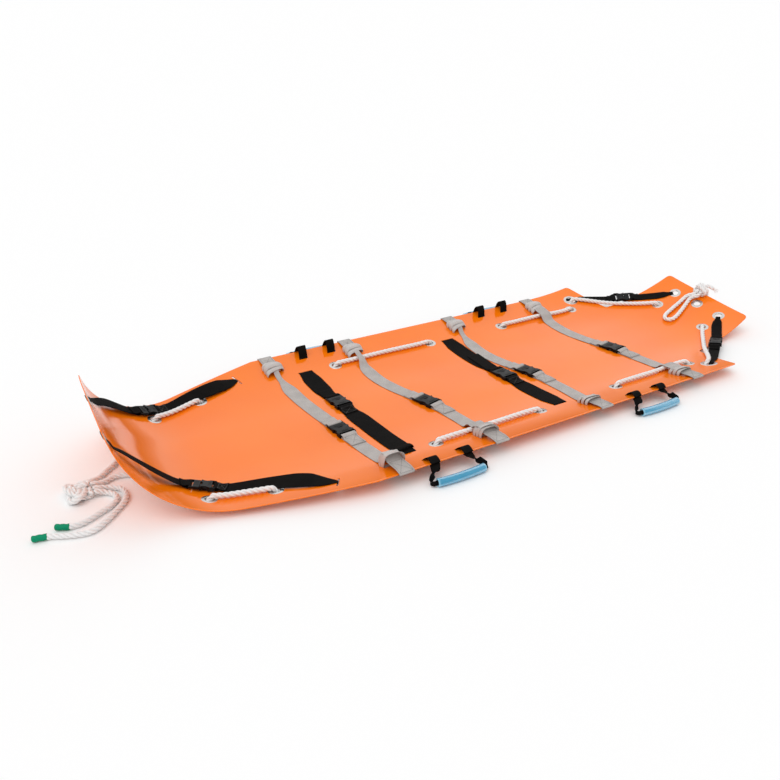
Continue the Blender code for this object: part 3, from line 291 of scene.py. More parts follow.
def smooth(points, spacing):
    """Points evenly spaced along a centripetal cubic through the given points, and where they lie.

    Each stretch is a Hermite cubic whose end slopes weigh the two chords by the other's length."""
    p = np.asarray(points, float)
    t = np.concatenate([[0], np.cumsum(np.sqrt(np.linalg.norm(np.diff(p, axis=0), axis=1)))])
    d = np.diff(t)[:, None]
    chord = np.diff(p, axis=0) / d
    slope = np.empty_like(p)
    slope[1:-1] = (chord[:-1] * d[1:] + chord[1:] * d[:-1]) / (d[:-1] + d[1:])
    slope[0], slope[-1] = chord[0], chord[-1]
    k = np.repeat(np.arange(len(d)), STEPS_PER_STRETCH)
    w = np.tile(np.arange(STEPS_PER_STRETCH) / STEPS_PER_STRETCH, len(d))[:, None]
    dense = (p[k] * (2 * w ** 3 - 3 * w ** 2 + 1) + slope[k] * d[k] * (w ** 3 - 2 * w ** 2 + w)
             + p[k + 1] * (3 * w ** 2 - 2 * w ** 3) + slope[k + 1] * d[k] * (w ** 3 - w ** 2))
    dense = np.vstack([dense, p[-1]])
    where = np.append(k + w[:, 0], len(p) - 1)
    reach = np.concatenate([[0], np.cumsum(np.linalg.norm(np.diff(dense, axis=0), axis=1))])
    want = np.linspace(0, reach[-1], max(3, ceil(reach[-1] / spacing) + 1))
    out = np.stack([np.interp(want, reach, dense[:, i]) for i in range(3)], -1)
    return out, np.interp(want, reach, where)


def lengths(path):
    """Distance along a path at each of its points."""
    return np.concatenate([[0], np.cumsum(np.linalg.norm(np.diff(path, axis=0), axis=1))])


def spread(a, b, step):
    """Values from a to b, without a, at most a step apart."""
    count = max(1, ceil(abs(b - a) / step - 1e-6))
    return [a + (b - a) * i / count for i in range(1, count + 1)]


def round_angles(count):
    """Angles evenly round a full turn, from 0."""
    return np.arange(count) * 2 * pi / count


def circle(count, radius):
    """Flat places evenly round a circle about the origin."""
    a = round_angles(count)
    return radius * np.column_stack([np.cos(a), np.sin(a)])


# The bent sheet

def curled(t, bend, ramp):
    """Distance along, rise and slope once a sheet has bent for lengths t.

    Its curvature climbs evenly over the ramp, then stays; the distances are the slope's cosine and
    sine summed along it."""
    t = np.maximum(np.asarray(t, float), 0)

    def slope(s):
        return bend * np.where(s < ramp, s * s / (2 * ramp), s - ramp / 2)

    angles = slope(t[..., None] * (np.arange(CURL_STEPS) + 0.5) / CURL_STEPS)
    return np.cos(angles).mean(-1) * t, np.sin(angles).mean(-1) * t, slope(t)


def sheet_at(u, v, h=0.0):
    """World places of the flat sheet's points (u, v), heights h above its middle layer."""
    u, v, h = np.broadcast_arrays(*(np.asarray(a, float) for a in (u, v, h)))
    curl_u = CURL_START + CURL_SKEW * v
    lift_u = LIFT_START + LIFT_SKEW * v
    back, foot_z, foot_slope = curled(curl_u - u, CURL_BEND, CURL_RAMP)
    ahead, head_z, head_slope = curled(u - lift_u, LIFT_BEND, LIFT_RAMP)
    x = np.where(u < curl_u, curl_u - back, np.where(u > lift_u, lift_u + ahead, u))
    over = np.maximum(np.abs(v) - TROUGH_FLAT_HALF, 0)
    side = np.arctan(2 * TROUGH_RISE * over)
    up = TROUGH_RISE * over ** 2 + HALF_SHEET + h * np.cos(side)
    y = np.abs(v) - 2 / 3 * TROUGH_RISE ** 2 * over ** 3 - h * np.sin(side)
    lean = foot_slope - head_slope
    return np.stack([x + up * np.sin(lean) + CENTRE_X, np.where(v >= 0, y, -y),
                     foot_z + head_z + up * np.cos(lean)], -1)


def sheet_axes(u, v, h=0.0):
    """Unit vectors along u, along v and out of the sheet at points."""
    step = 0.0005
    along = unit(sheet_at(u + step, v, h) - sheet_at(u - step, v, h))
    across = unit(sheet_at(u, v + step, h) - sheet_at(u, v - step, h))
    return along, across, unit(np.cross(along, across))


# Shader maths

class Socket:
    """A value in a node tree, with arithmetic that adds Math nodes."""

    def __init__(self, nodes, link):
        self.nodes, self.link = nodes, link

    def math(self, operation, *others):
        values = {i + 1: other for i, other in enumerate(others)}
        return self.nodes.node("ShaderNodeMath", {"operation": operation}, {0: self, **values})[0]

    def __add__(self, other):
        return self.math("ADD", other)

    def __mul__(self, other):
        return self.math("MULTIPLY", other)

    def __sub__(self, other):
        return self.math("SUBTRACT", other)

    def __rsub__(self, other):
        return self * -1.0 + other

    __radd__ = __add__
    __rmul__ = __mul__

    def sine(self):
        return self.math("SINE")

    def size(self):
        return self.math("ABSOLUTE")

    def fraction(self):
        return self.math("FRACT")

    def step(self, low, high):
        """0 below low, 1 above high, level at both ends."""
        values = {0: self, 1: low, 2: high, 3: 0.0, 4: 1.0}
        return self.nodes.node("ShaderNodeMapRange", {"interpolation_type": "SMOOTHSTEP"}, values)[0]


class Nodes:
    """A node tree to which nodes are added."""

    def __init__(self, tree):
        self.tree = tree

    def node(self, kind, settings=None, values=None):
        """A node of this kind, its settings set first, then its sockets; gives its outputs."""
        made = self.tree.nodes.new(kind)
        for key, value in (settings or {}).items():
            setattr(made, key, value)
        for key, value in (values or {}).items():
            if isinstance(value, Socket):
                self.tree.links.new(value.link, made.inputs[key])
            else:
                made.inputs[key].default_value = value
        return [Socket(self, out) for out in made.outputs]


class Paint(Nodes):
    """A material on one Principled shader, whose varying inputs are set from sockets."""

    def __init__(self, name, **constants):
        self.material = bpy.data.materials.new(name)
        self.material.use_nodes = True
        super().__init__(self.material.node_tree)
        self.shader = self.tree.nodes["Principled BSDF"]
        for key, value in constants.items():
            self.shader.inputs[key.replace("_", " ")].default_value = value

    def place(self):
        """Object coordinates, in metres."""
        return self.node("ShaderNodeTexCoord")[3]

    def flat(self, name="flat"):
        """The piece's own UV map as two values, in metres."""
        uv = self.node("ShaderNodeUVMap", {"uv_map": name})[0]
        x, y, _ = self.node("ShaderNodeSeparateXYZ", values={0: uv})
        return uv, x, y

    def attribute(self, name):
        return self.node("ShaderNodeAttribute", {"attribute_name": name})[2]

    def noise(self, vector, scale, detail=2.0, rough=0.5):
        """Cloudy noise from 0 to 1; the scale is in cells a metre."""
        values = {"Vector": vector, "Scale": scale, "Detail": detail, "Roughness": rough}
        return self.node("ShaderNodeTexNoise", values=values)[0]

    def stretched(self, vector, x, y, z=1.0):
        return self.node("ShaderNodeMapping", values={"Vector": vector, "Scale": (x, y, z)})[0]

    def mix(self, factor, first, second):
        """A colour between two, by a factor."""
        settings = {"data_type": "RGBA", "blend_type": "MIX"}
        values = {0: factor}
        for slot, colour in ((6, first), (7, second)):
            values[slot] = colour if isinstance(colour, Socket) else (*colour, 1.0)
        return self.node("ShaderNodeMix", settings, values)[2]

    def bump(self, height, distance, strength=1.0):
        values = {"Height": height, "Distance": distance, "Strength": strength}
        return self.node("ShaderNodeBump", values=values)[0]

    def set(self, **inputs):
        for key, value in inputs.items():
            self.tree.links.new(value.link, self.shader.inputs[key.replace("_", " ")])
        return self.material


def orange_plastic():
    """Glossy flexible sheet: deep orange with faint mottling, soft waves and hair scratches."""
    paint = Paint("orange_plastic", IOR=1.45)
    uv, _, _ = paint.flat()
    cloud = paint.noise(uv, 3.0, 3.0)
    grain = paint.noise(uv, 900.0, 1.0)
    colour = paint.mix(cloud.step(0.3, 0.7), (0.950, 0.186, 0.002), (0.980, 0.206, 0.003))
    hair = paint.noise(paint.stretched(uv, 40.0, 900.0), 1.0, 3.0).step(0.62, 0.74)
    hair = hair * paint.noise(uv, 5.0).step(0.45, 0.7)
    waves = paint.noise(paint.stretched(uv, 2.2, 3.4), 1.0, 1.0)
    normal = paint.bump(waves * 0.012 + grain * 0.00003 - hair * 0.00004, 1.0, 0.55)
    return paint.set(Base_Color=colour, Roughness=0.095 + cloud * 0.03 + hair * 0.10, Normal=normal)


def nickel():
    """Plated eyelet metal with faint turning marks and dull patches."""
    paint = Paint("eyelet_nickel", Metallic=1.0)
    spot = paint.place()
    cloud = paint.noise(spot, 90.0, 2.0)
    colour = paint.mix(cloud, (0.50, 0.49, 0.47), (0.66, 0.65, 0.63))
    return paint.set(Base_Color=colour, Roughness=0.16 + cloud * 0.16,
                     Normal=paint.bump(paint.noise(spot, 700.0), 0.00012))


def woven(name, dark, light, sheen, gloss, rough):
    """Webbing: lengthwise yarn columns in a herringbone twill, with painted shade between them, and darker at
    the edge.

    The column's height is the size of a sine across; its floats step along in a zigzag."""
    paint = Paint(name, Sheen_Weight=sheen, Sheen_Roughness=0.4, Specular_IOR_Level=gloss)
    uv, x, y = paint.flat()
    columns = (x * (pi / (1.55 * MM))).sine().size()
    zigzag = (x * (1 / (6.2 * MM))).fraction() - 0.5
    twill = ((y * (1 / (2.4 * MM)) + zigzag.size() * 4.0) * (2 * pi)).sine() * 0.5 + 0.5
    height = columns * 0.7 + columns * twill * 0.5
    fibre = paint.noise(paint.stretched(uv, 3000.0, 700.0), 1.0, 2.0)
    worn = paint.noise(uv, 28.0, 3.0)
    # Painted shade: low yarn height darkens the colour between the columns and under the twill floats; fibre
    # and worn patches vary it at random.
    tone = height * 0.55 + fibre * 0.35 + worn.step(0.25, 0.8) * 0.30
    edge = paint.attribute("edge").step(0.90, 1.0)
    colour = paint.mix(tone - edge * 0.25, dark, light)
    normal = paint.bump(height * 0.00022 + fibre * 0.00008 + worn * 0.0012, 1.0, 0.9)
    return paint.set(Base_Color=colour, Roughness=rough + fibre * 0.12, Normal=normal)


def thread(name, colour):
    """Sewing thread with a fine twist."""
    paint = Paint(name, Sheen_Weight=0.3)
    cloud = paint.noise(paint.place(), 2500.0, 2.0)
    shade = tuple(c * 0.72 for c in colour)
    return paint.set(Base_Color=paint.mix(cloud, shade, colour), Roughness=0.55 + cloud * 0.2,
                     Normal=paint.bump(cloud, 0.0002))


def black_plastic():
    """Moulded buckle plastic: fine spark grain, glossy, with handling marks."""
    paint = Paint("buckle_plastic", Specular_IOR_Level=0.13)
    spot = paint.place()
    grain = paint.noise(spot, 2600.0, 2.0)
    wear = paint.noise(spot, 60.0, 4.0)
    colour = paint.mix(wear.step(0.4, 0.8), (0.004, 0.004, 0.0045), (0.010, 0.010, 0.011))
    return paint.set(Base_Color=colour, Roughness=0.15 + wear * 0.12 + grain * 0.05,
                     Normal=paint.bump(grain, 0.00006))


def blue_tube():
    """Soft clear blue hose: paler towards its ends, painted light showing through the clear wall there, with
    faint draw lines along it.
    """
    paint = Paint("blue_tube", Coat_Weight=0.5, Coat_Roughness=0.06, Transmission_Weight=0.18, IOR=1.45)
    uv, _, _ = paint.flat()
    lines = paint.noise(paint.stretched(uv, 5.0, 900.0), 1.0, 2.0)
    cloud = paint.noise(uv, 30.0, 2.0)
    # Painted light: the ends are made paler, as if light showed through the clear wall.
    end = paint.attribute("end")
    body = paint.mix(lines * 0.5 + cloud * 0.5, (0.026, 0.290, 0.500), (0.075, 0.420, 0.640))
    colour = paint.mix(end, body, (0.34, 0.67, 0.83))
    return paint.set(Base_Color=colour, Roughness=0.16 + cloud * 0.10, Normal=paint.bump(lines, 0.00012))


def laid_yarn():
    """Three-strand white rope: yarns run along the rope over each strand, with painted shade making it gray
    in the grooves.
    """
    paint = Paint("laid_rope", Sheen_Weight=0.45, Sheen_Roughness=0.5)
    uv, x, y = paint.flat()
    yarn = ((x + y * (3.0 / ROPE_LAY)) * (2 * pi * 7.0)).sine() * 0.5 + 0.5
    fuzz = paint.noise(paint.stretched(uv, 60.0, 900.0), 1.0, 3.0)
    groove = paint.attribute("groove")
    soil = paint.noise(paint.place(), 14.0, 3.0).step(0.45, 0.8)
    # Painted shade: the grooves between strands, and a little the gaps between yarns, turn the white toward
    # gray; soil adds faint real dirt.
    tone = groove * 0.60 + (1.0 - yarn) * 0.12 + soil * 0.06
    colour = paint.mix(tone, (0.995, 0.990, 0.985), (0.70, 0.675, 0.66))
    normal = paint.bump(yarn * 0.00045 + fuzz * 0.00025, 1.0, 0.9)
    return paint.set(Base_Color=colour, Roughness=0.58 + fuzz * 0.2, Normal=normal)


def green_tape():
    """Shrunk green sleeve, glossy with fine rings."""
    paint = Paint("green_sleeve", Specular_IOR_Level=0.15)
    uv, _, y = paint.flat()
    rings = (y * (2 * pi / (2.4 * MM))).sine() * 0.5 + 0.5
    cloud = paint.noise(uv, 200.0, 2.0)
    colour = paint.mix(cloud, (0.0005, 0.230, 0.110), (0.001, 0.310, 0.155))
    return paint.set(Base_Color=colour, Roughness=0.34 + cloud * 0.2,
                     Normal=paint.bump(rings * 0.00012 + cloud * 0.0002, 1.0))


ORANGE = orange_plastic()
NICKEL = nickel()
GRAY_WEB = woven("gray_webbing", (0.250, 0.228, 0.217), (0.560, 0.522, 0.498), 0.20, 0.30, 0.50)
# The knuckles' webbing: the gray webbing made lighter and glossier, painted light standing in for the light
# its folds catch.
GRAY_WEB_LIT = woven("gray_webbing_painted_lit", (0.320, 0.296, 0.284), (0.680, 0.640, 0.615), 0.35, 0.35, 0.42)
BLACK_WEB = woven("black_webbing", (0.0012, 0.0011, 0.0011), (0.0085, 0.0075, 0.0070), 0.0, 0.05, 0.66)
GRAY_THREAD = thread("gray_thread", (0.150, 0.140, 0.134))
BLACK_THREAD = thread("black_thread", (0.020, 0.019, 0.019))
BUCKLE = black_plastic()
BLUE = blue_tube()
YARN = laid_yarn()
GREEN = green_tape()


# Meshes

def mesh_from(name, points, faces, uvs=None, values=None):
    """A mesh of points and arrays of faces; uvs holds each corner's UV, values each point's number."""
    mesh = bpy.data.meshes.new(name)
    points = np.asarray(points, np.float32)
    corners = np.concatenate([f.ravel() for f in faces]).astype(np.int32)
    sides = np.concatenate([np.full(len(f), f.shape[1]) for f in faces])
    mesh.vertices.add(len(points))
    mesh.vertices.foreach_set("co", points.ravel())
    mesh.loops.add(len(corners))
    mesh.loops.foreach_set("vertex_index", corners)
    mesh.polygons.add(len(sides))
    starts = np.concatenate([[0], np.cumsum(sides)[:-1]])
    mesh.polygons.foreach_set("loop_start", starts.astype(np.int32))
    mesh.update(calc_edges=True)
    if uvs is not None:
        layer = mesh.uv_layers.new(name="flat")
        layer.data.foreach_set("uv", np.concatenate(uvs).astype(np.float32).ravel())
    for key, value in (values or {}).items():
        attribute = mesh.attributes.new(key, "FLOAT", "POINT")
        attribute.data.foreach_set("value", np.ravel(value).astype(np.float32))
    return mesh


def bmesh_mesh(name, bm):
    """The mesh that a bmesh holds; the bmesh is freed."""
    mesh = bpy.data.meshes.new(name)
    bm.to_mesh(mesh)
    bm.free()
    return mesh


def tube_faces(rows, cols, start=0):
    """Quads of a tube of rows by cols points, round and closed, with the UV grid's own corners."""
    i, j = (a.ravel() for a in np.mgrid[0:rows - 1, 0:cols])
    k = (j + 1) % cols
    quads = np.stack([i * cols + j, i * cols + k, (i + 1) * cols + k, (i + 1) * cols + j], -1)
    wide = cols + 1
    marks = np.stack([i * wide + j, i * wide + j + 1, (i + 1) * wide + j + 1, (i + 1) * wide + j], -1)
    return quads + start, marks


def wrapped_cells(rows, cols):
    """Point numbers at the four corners, in turn, of each cell of a grid that closes both ways."""
    i, j = (a.ravel() for a in np.mgrid[0:rows, 0:cols])
    k, m = (i + 1) % rows, (j + 1) % cols
    return i * cols + j, i * cols + m, k * cols + m, k * cols + j


def fan_volume(points, corners):
    """Six times the volume of the cones from the origin to triangles: one corner dotted with the cross
    product of the two others, summed."""
    a, b, c = (points[corners[:, i]] for i in range(3))
    return np.einsum("ij,ij->i", a, np.cross(b, c)).sum()


def tube_mesh(name, grid, uv=None, values=None):
    """A closed tube from a grid (rows, cols, 3), each end shut by a fan about its middle.

    The grid's UV has one column more than its points, so that the pattern meets at the seam."""
    rows, cols = grid.shape[:2]
    points = np.vstack([grid.reshape(-1, 3), grid[0].mean(0), grid[-1].mean(0)])
    quads, marks = tube_faces(rows, cols)
    j = np.arange(cols)
    k = (j + 1) % cols
    low = np.stack([k, j, np.full(cols, rows * cols)], -1)
    last = (rows - 1) * cols
    high = np.stack([last + j, last + k, np.full(cols, rows * cols + 1)], -1)
    halves = (quads[:, :3], quads[:, [0, 2, 3]], low, high)
    volume = sum(fan_volume(points, triangles) for triangles in halves)
    uvs = None
    if uv is not None:
        flat = uv.reshape(-1, 2)
        uvs = [flat[marks.ravel()], flat[np.stack([k, j, j], -1).ravel()],
               flat[(rows - 1) * (cols + 1) + np.stack([j, k, j], -1).ravel()]]
    faces = [quads, low, high]
    if volume < 0:
        faces = [f[:, ::-1] for f in faces]
        if uvs:
            uvs = [u.reshape(-1, f.shape[1], 2)[:, ::-1].reshape(-1, 2) for u, f in zip(uvs, faces)]
    ends = {key: np.append(np.ravel(value), [np.ravel(value)[0], np.ravel(value)[-1]])
            for key, value in (values or {}).items()}
    return mesh_from(name, points, faces, uvs, ends)


def piece(name, mesh, material, body=ROOT, nodes=(), sharp=None):
    """A finished piece of the stretcher: smooth shaded, riding on its body and standing for nodes. A piece
    given no body is left unattached."""
    obj = placed(name, mesh)
    mesh.materials.clear()
    mesh.materials.append(material)
    mesh.shade_smooth()
    if sharp:
        mesh.set_sharp_from_angle(angle=radians(sharp))
    if body:
        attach(obj, body)
    if nodes:
        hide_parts(*nodes)
    return obj


def joined(meshes, name):
    """One mesh that holds copies of several."""
    bm = bmesh.new()
    for mesh in meshes:
        bm.from_mesh(mesh)
    out = bmesh_mesh(name, bm)
    for mesh in meshes:
        bpy.data.meshes.remove(mesh)
    return out


# The rope: cords come first, since their routes are settled in the solids

STRAND_OFF = 0.42
STRAND_ROUND = 0.58
STRAND_POINTS = 8
ROPE_STEP = 2.4 * MM
ROPE_END_DOME = 3 * MM
ROPE_START_BACK = 40 * MM
BOWED_GAP = 0.3
HALVED_GAP = 0.1
NOT_ALONG_A_ROPE = (0.31, 0.17, 0.93)
HEAD_KNOT_TURNS = 2.15
HEAD_KNOT_WRAP = (20.5 * MM, 13.5 * MM)
HEAD_KNOT_BULGE = 0.10
FOOT_KNOT_SCALE = (10.8 * MM, 13.8 * MM)
FOOT_KNOT_OPEN = 0.40
FOOT_KNOT_HIGH = 8.5 * MM
FOOT_KNOT_APART = 12.6 * MM
FOOT_KNOT_MIDDLE = (-34 * MM, 4 * MM, -2.5 * MM)
FOOT_KNOT_LEAD = 7 * MM
LEAD_LONG = 8 * MM
FRAY_YARN_R = 0.65 * MM
SLEEVE_THICK = 0.7 * MM
SLEEVE_PAST = 1.2 * MM
SLEEVE_DOME = 2.5 * MM


def rope_section():
    """The rope's radius round it, as a share: three circles of STRAND_ROUND, STRAND_OFF from the
    middle. Each strand's arc is cos(a) times the offset plus the root that closes its circle."""
    part = (np.arange(3 * STRAND_POINTS) % STRAND_POINTS) / STRAND_POINTS - 0.5
    a = part * 2 * pi / 3
    return STRAND_OFF * np.cos(a) + np.sqrt(STRAND_ROUND ** 2 - (STRAND_OFF * np.sin(a)) ** 2)


def carried_frames(path):
    """Two unit vectors square to a path at each point, carried along it without twisting."""
    run = unit(np.gradient(path, axis=0))
    first = np.cross(run[0], NOT_ALONG_A_ROPE)
    sides = [unit(first)]
    for way in run[1:]:
        side = sides[-1] - way * (sides[-1] @ way)
        sides.append(unit(side))
    sides = np.array(sides)
    return sides, np.cross(run, sides)


def rows_round(line, across, over, wide, angle):
    """Rows of points round a line: the line plus wide times (cos, sin) of the angle on its two axes."""
    return line[:, None] + across[:, None] * (wide * np.cos(angle))[..., None] \
        + over[:, None] * (wide * np.sin(angle))[..., None]


def rope_mesh(name, points, turn=0.0, radius=FULL_R, closed=(True, True)):
    """Laid rope along a route: the section above turns evenly as it goes along.

    A point is the path plus radius times share times (cos, sin) of its angle plus the lay's turn; the
    radius is one value or one for each point of the route. An end that shows is rounded by shrinking
    its last rows along a quarter circle."""
    path, where = smooth(points, ROPE_STEP)
    s = lengths(path)
    share = rope_section()
    cols = len(share)
    angle = round_angles(cols)[None, :] + (2 * pi * s / ROPE_LAY + turn)[:, None]
    size = np.interp(where, np.arange(len(points)), np.broadcast_to(radius, len(points)))
    for end, reach in ((closed[0], s), (closed[1], s[-1] - s)):
        if end:
            near = np.clip(reach / ROPE_END_DOME, 0, 1)
            size = size * np.sqrt(np.maximum(1 - (1 - near) ** 2, 0.03))
    grid = rows_round(path, *carried_frames(path), size[:, None] * share[None, :], angle)
    marks = np.arange(cols + 1) / STRAND_POINTS
    uv = np.stack(np.broadcast_arrays(marks[None, :], s[:, None]), -1)
    # The groove value is how deep a point lies between strands; the rope's material paints shade by it.
    low, high = share.min(), share.max()
    groove = np.broadcast_to(((high - share) / (high - low)) ** 1.5, (len(s), cols))
    return tube_mesh(name, grid, uv, {"groove": groove}), path


def through_hole(radius, clear, corner_points=2):
    """(along, height) points of a line that dives through an eyelet, kept clear of both its rims."""
    half = sqrt(radius ** 2 + ((RIM_TOP + HALF_SHEET) / 2) ** 2)
    lean = np.arctan((RIM_TOP + HALF_SHEET) / 2 / radius)
    tilt = lean + np.arctan(clear / sqrt(half ** 2 - clear ** 2))
    angles = [tilt * (i + 0.5) / corner_points for i in range(corner_points)]
    out = clear / cos(angles[0])
    bend = [(radius - out * sin(a), out * cos(a)) for a in angles]
    wide = radius + 2 * MM + clear / 4
    over = [(-wide, RIM_TOP + clear)] + [(-s, RIM_TOP + h) for s, h in bend]
    return over + [(s, -HALF_SHEET - h) for s, h in bend[::-1]] + [(wide, -HALF_SHEET - clear)]


def head_knot_axes():
    """Middle of the head knot and its axes: along the sheet, across it and out of it."""
    u, v = HEAD_KNOT
    h = KNOT_BASE + HEAD_KNOT_SIZE[2] / 2
    along, _, out = sheet_axes(u, v, h)
    return sheet_at(u, v, h), along, np.cross(out, along), out


def side_rope_plan():
    """The flat route of a side's rope, and which of its points are eyelets. It bows out a little on
    its long stretches over the sheet."""
    knots = [np.array(p) for p in ROPE_EYELETS]
    toward = unit(knots[BIG_EYELET + 1] - knots[BIG_EYELET])
    knots[BIG_EYELET] = knots[BIG_EYELET] + np.array((toward[1], -toward[0])) * BIG_EYELET_SPLIT
    plan, marks = [knots[0] - unit(knots[1] - knots[0]) * ROPE_START_BACK], []
    for i, (knot, after) in enumerate(zip(knots, knots[1:])):
        marks.append(len(plan))
        plan.append(knot)
        gap = np.linalg.norm(after - knot)
        if i % 2 == 1 and gap > BOWED_GAP:
            for t, bow in ((0.25, 0.6), (0.5, 1.0), (0.75, 0.6)):
                plan.append(knot + (after - knot) * t + np.array((0, ROPE_BOW * bow)))
        elif gap > HALVED_GAP:
            plan.append((knot + after) / 2)
    return plan + [knots[-1]], marks + [len(plan)]


def side_rope_route(side):
    """World points of a side's rope and its radius at each: over the sheet and under it by turns, and
    up at the flap's end. It's full where it lies on top, and squashed under the sheet."""
    clear = ROPE_R + 1.1 * GAP
    dive = through_hole(EYELET_BORE / 2 * cos(pi / 12), clear)
    plan, marks = side_rope_plan()
    edge_v = HEAD_KNOT[1] + side * STRAND_STEP / 2
    plan = [(p[0], side * p[1]) for p in plan]
    plan += [(1.110, side * 0.070), (1.165, edge_v + side * 0.022), (FLAP_END_U - 0.012, edge_v)]
    dense, where = smooth([(a, b, 0) for a, b in plan], 1 * MM)
    reach = lengths(dense)
    knots = np.interp(marks, where, reach)
    wanted = [(0.0, -HALF_SHEET - clear)]
    for i, knot in enumerate(knots):
        steps = [(knot + s, h) for s, h in dive] if i % 2 else [(knot - s, h) for s, h in dive[::-1]]
        wanted += [(s, wanted[-1][1]) for s in spread(wanted[-1][0], steps[0][0], 0.035)[:-1]]
        wanted += steps
    wanted += [(s, wanted[-1][1]) for s in spread(wanted[-1][0], reach[-1], 0.03)]
    s, h = np.array(wanted).T
    top = ease(h / clear)
    points = list(sheet_at(np.interp(s, reach, dense[:, 0]), np.interp(s, reach, dense[:, 1]),
                           h + ROPE_PROUD * top))
    radii = list(ROPE_R + ROPE_PROUD * top)
    for a in (0, 30, 60):
        points.append(sheet_at(FLAP_END_U + EDGE_TURN * sin(radians(a)), edge_v,
                               -HALF_SHEET - EDGE_TURN * cos(radians(a))))
    middle, along, across, out = head_knot_axes()
    end = middle + along * (FLAP_END_U + EDGE_TURN - HEAD_KNOT[0]) + across * side * STRAND_STEP / 2 \
        - out * (HEAD_KNOT_SIZE[2] / 2 + SEAT)
    points += [end - out * 3 * MM, end]
    return points, radii + [FULL_R] * (len(points) - len(radii))


def knot_strands(name, routes):
    """Several lengths of rope joined as one knot, each with its lay turned a little further."""
    ropes = [rope_mesh(f"{name}_{i}", route, turn=1.1 * i)[0] for i, route in enumerate(routes)]
    return joined(ropes, name)


def head_knot_routes():
    """The head knot's ropes: two that turn from the sheet's end into the loop, and the turns round
    them. The turns are an oval helix, its middle moving along the sheet as it goes round."""
    middle, along, across, out = head_knot_axes()

    def at(a, c, o):
        """A place in the knot's own axes."""
        return middle + along * a + across * c + out * o

    half, low = HEAD_KNOT_SIZE[0] / 2, HEAD_KNOT_SIZE[2] / 2
    rise = FLAP_END_U + EDGE_TURN - HEAD_KNOT[0]
    routes = []
    for side in (1, -1):
        c = side * STRAND_STEP / 2
        routes.append([at(rise, c, -low), at(rise, c, -low + 5 * MM), at(rise - 4 * MM, c * 0.85, -4 * MM),
                       at(rise - 13 * MM, c * 0.8, 0), at(-0.010, c * 0.85, 0), at(-half, c, 0)])
    wide, tall = HEAD_KNOT_WRAP
    t = np.linspace(0, 1, 34)
    a = -0.6 + 2 * pi * HEAD_KNOT_TURNS * t
    middle_along = 12.5 * MM - 29 * MM * t + 2.5 * MM * np.sin(a * 2)
    bulge = 1 + HEAD_KNOT_BULGE * np.sin(pi * t)
    wrap = [at(m + 3.5 * MM * np.sin(b), wide * g * np.cos(b), tall * g * np.sin(b))
            for m, b, g in zip(middle_along, a, bulge)]
    tail = [at(*spot) for spot in HEAD_TAIL]
    return routes + [tail[::-1] + wrap]


def foot_knot_routes():
    """The foot knot's two ropes side by side along an overhand knot's line.

    The line is a trefoil, (sin t + 2 sin 2t, cos t - 2 cos 2t, -sin 3t), opened at the tip of the lobe
    that faces the sheet, where its ends fan out to the four ropes."""
    x, y = FOOT_KNOT_AT
    z = FOOT_KNOT_SIZE[2] / 2 + SEAT
    face = x + FOOT_KNOT_SIZE[0] / 2 + CENTRE_X
    t = np.linspace(FOOT_KNOT_OPEN, 2 * pi - FOOT_KNOT_OPEN, 44) + pi
    line = np.stack([2 * np.cos(2 * t) - np.cos(t), np.sin(t) + 2 * np.sin(2 * t)], -1) * FOOT_KNOT_SCALE
    way = unit(np.gradient(line, axis=0))
    square = np.stack([-way[:, 1], way[:, 0]], -1)
    height = -np.sin(3 * t) * FOOT_KNOT_HIGH
    middle = np.array((face, y, z)) + FOOT_KNOT_MIDDLE
    lead = np.array((FOOT_KNOT_LEAD, 0, 0))
    routes = []
    for k, (enter, leave) in enumerate(((0, 3), (1, 2))):
        body = line + square * (0.5 - k) * FOOT_KNOT_APART
        points = list(middle + np.column_stack([body, height]))
        first, last = (np.array((face, y + FOOT_KNOT_STRANDS[i], z)) for i in (enter, leave))
        routes.append([first, first - lead] + points + [last - lead, last])
    return routes


def frayed_end(name, at, way, count=26, long=0.020):
    """Loose yarns at a cut rope end: thin tapering tubes that fan out, bending as their distance
    squared."""
    rng = np.random.default_rng(7)
    way = unit(way)
    side = unit(np.cross(way, (0.2, 0.1, 1)))
    over = np.cross(way, side)
    meshes = []
    for i in range(count):
        a, r = rng.uniform(0, 2 * pi), rng.uniform(0.1, 1.0) ** 0.5 * FULL_R * 0.8
        out = side * cos(a) + over * sin(a)
        reach = long * rng.uniform(0.55, 1.0)
        t = np.linspace(0, 1, 7)[:, None]
        path = at + out * r - way * 3 * MM + way * (reach + 3 * MM) * t \
            + out * (r * rng.uniform(0.2, 1.4)) * t ** 2 + np.array((0, 0, -0.002)) * t ** 2
        grid = rows_round(path, *carried_frames(path), FRAY_YARN_R * (1 - 0.6 * t), round_angles(5))
        # The loose yarns carry a little of the rope's painted groove shade.
        groove = {"groove": np.full((7, 5), 0.12)}
        meshes.append(tube_mesh(f"{name}_{i}", grid, np.zeros((7, 6, 2)), groove))
    return joined(meshes, name)


def rope_piece(mesh, *nodes):
    """A finished piece of white rope."""
    return piece(mesh.name, mesh, YARN, nodes=nodes)


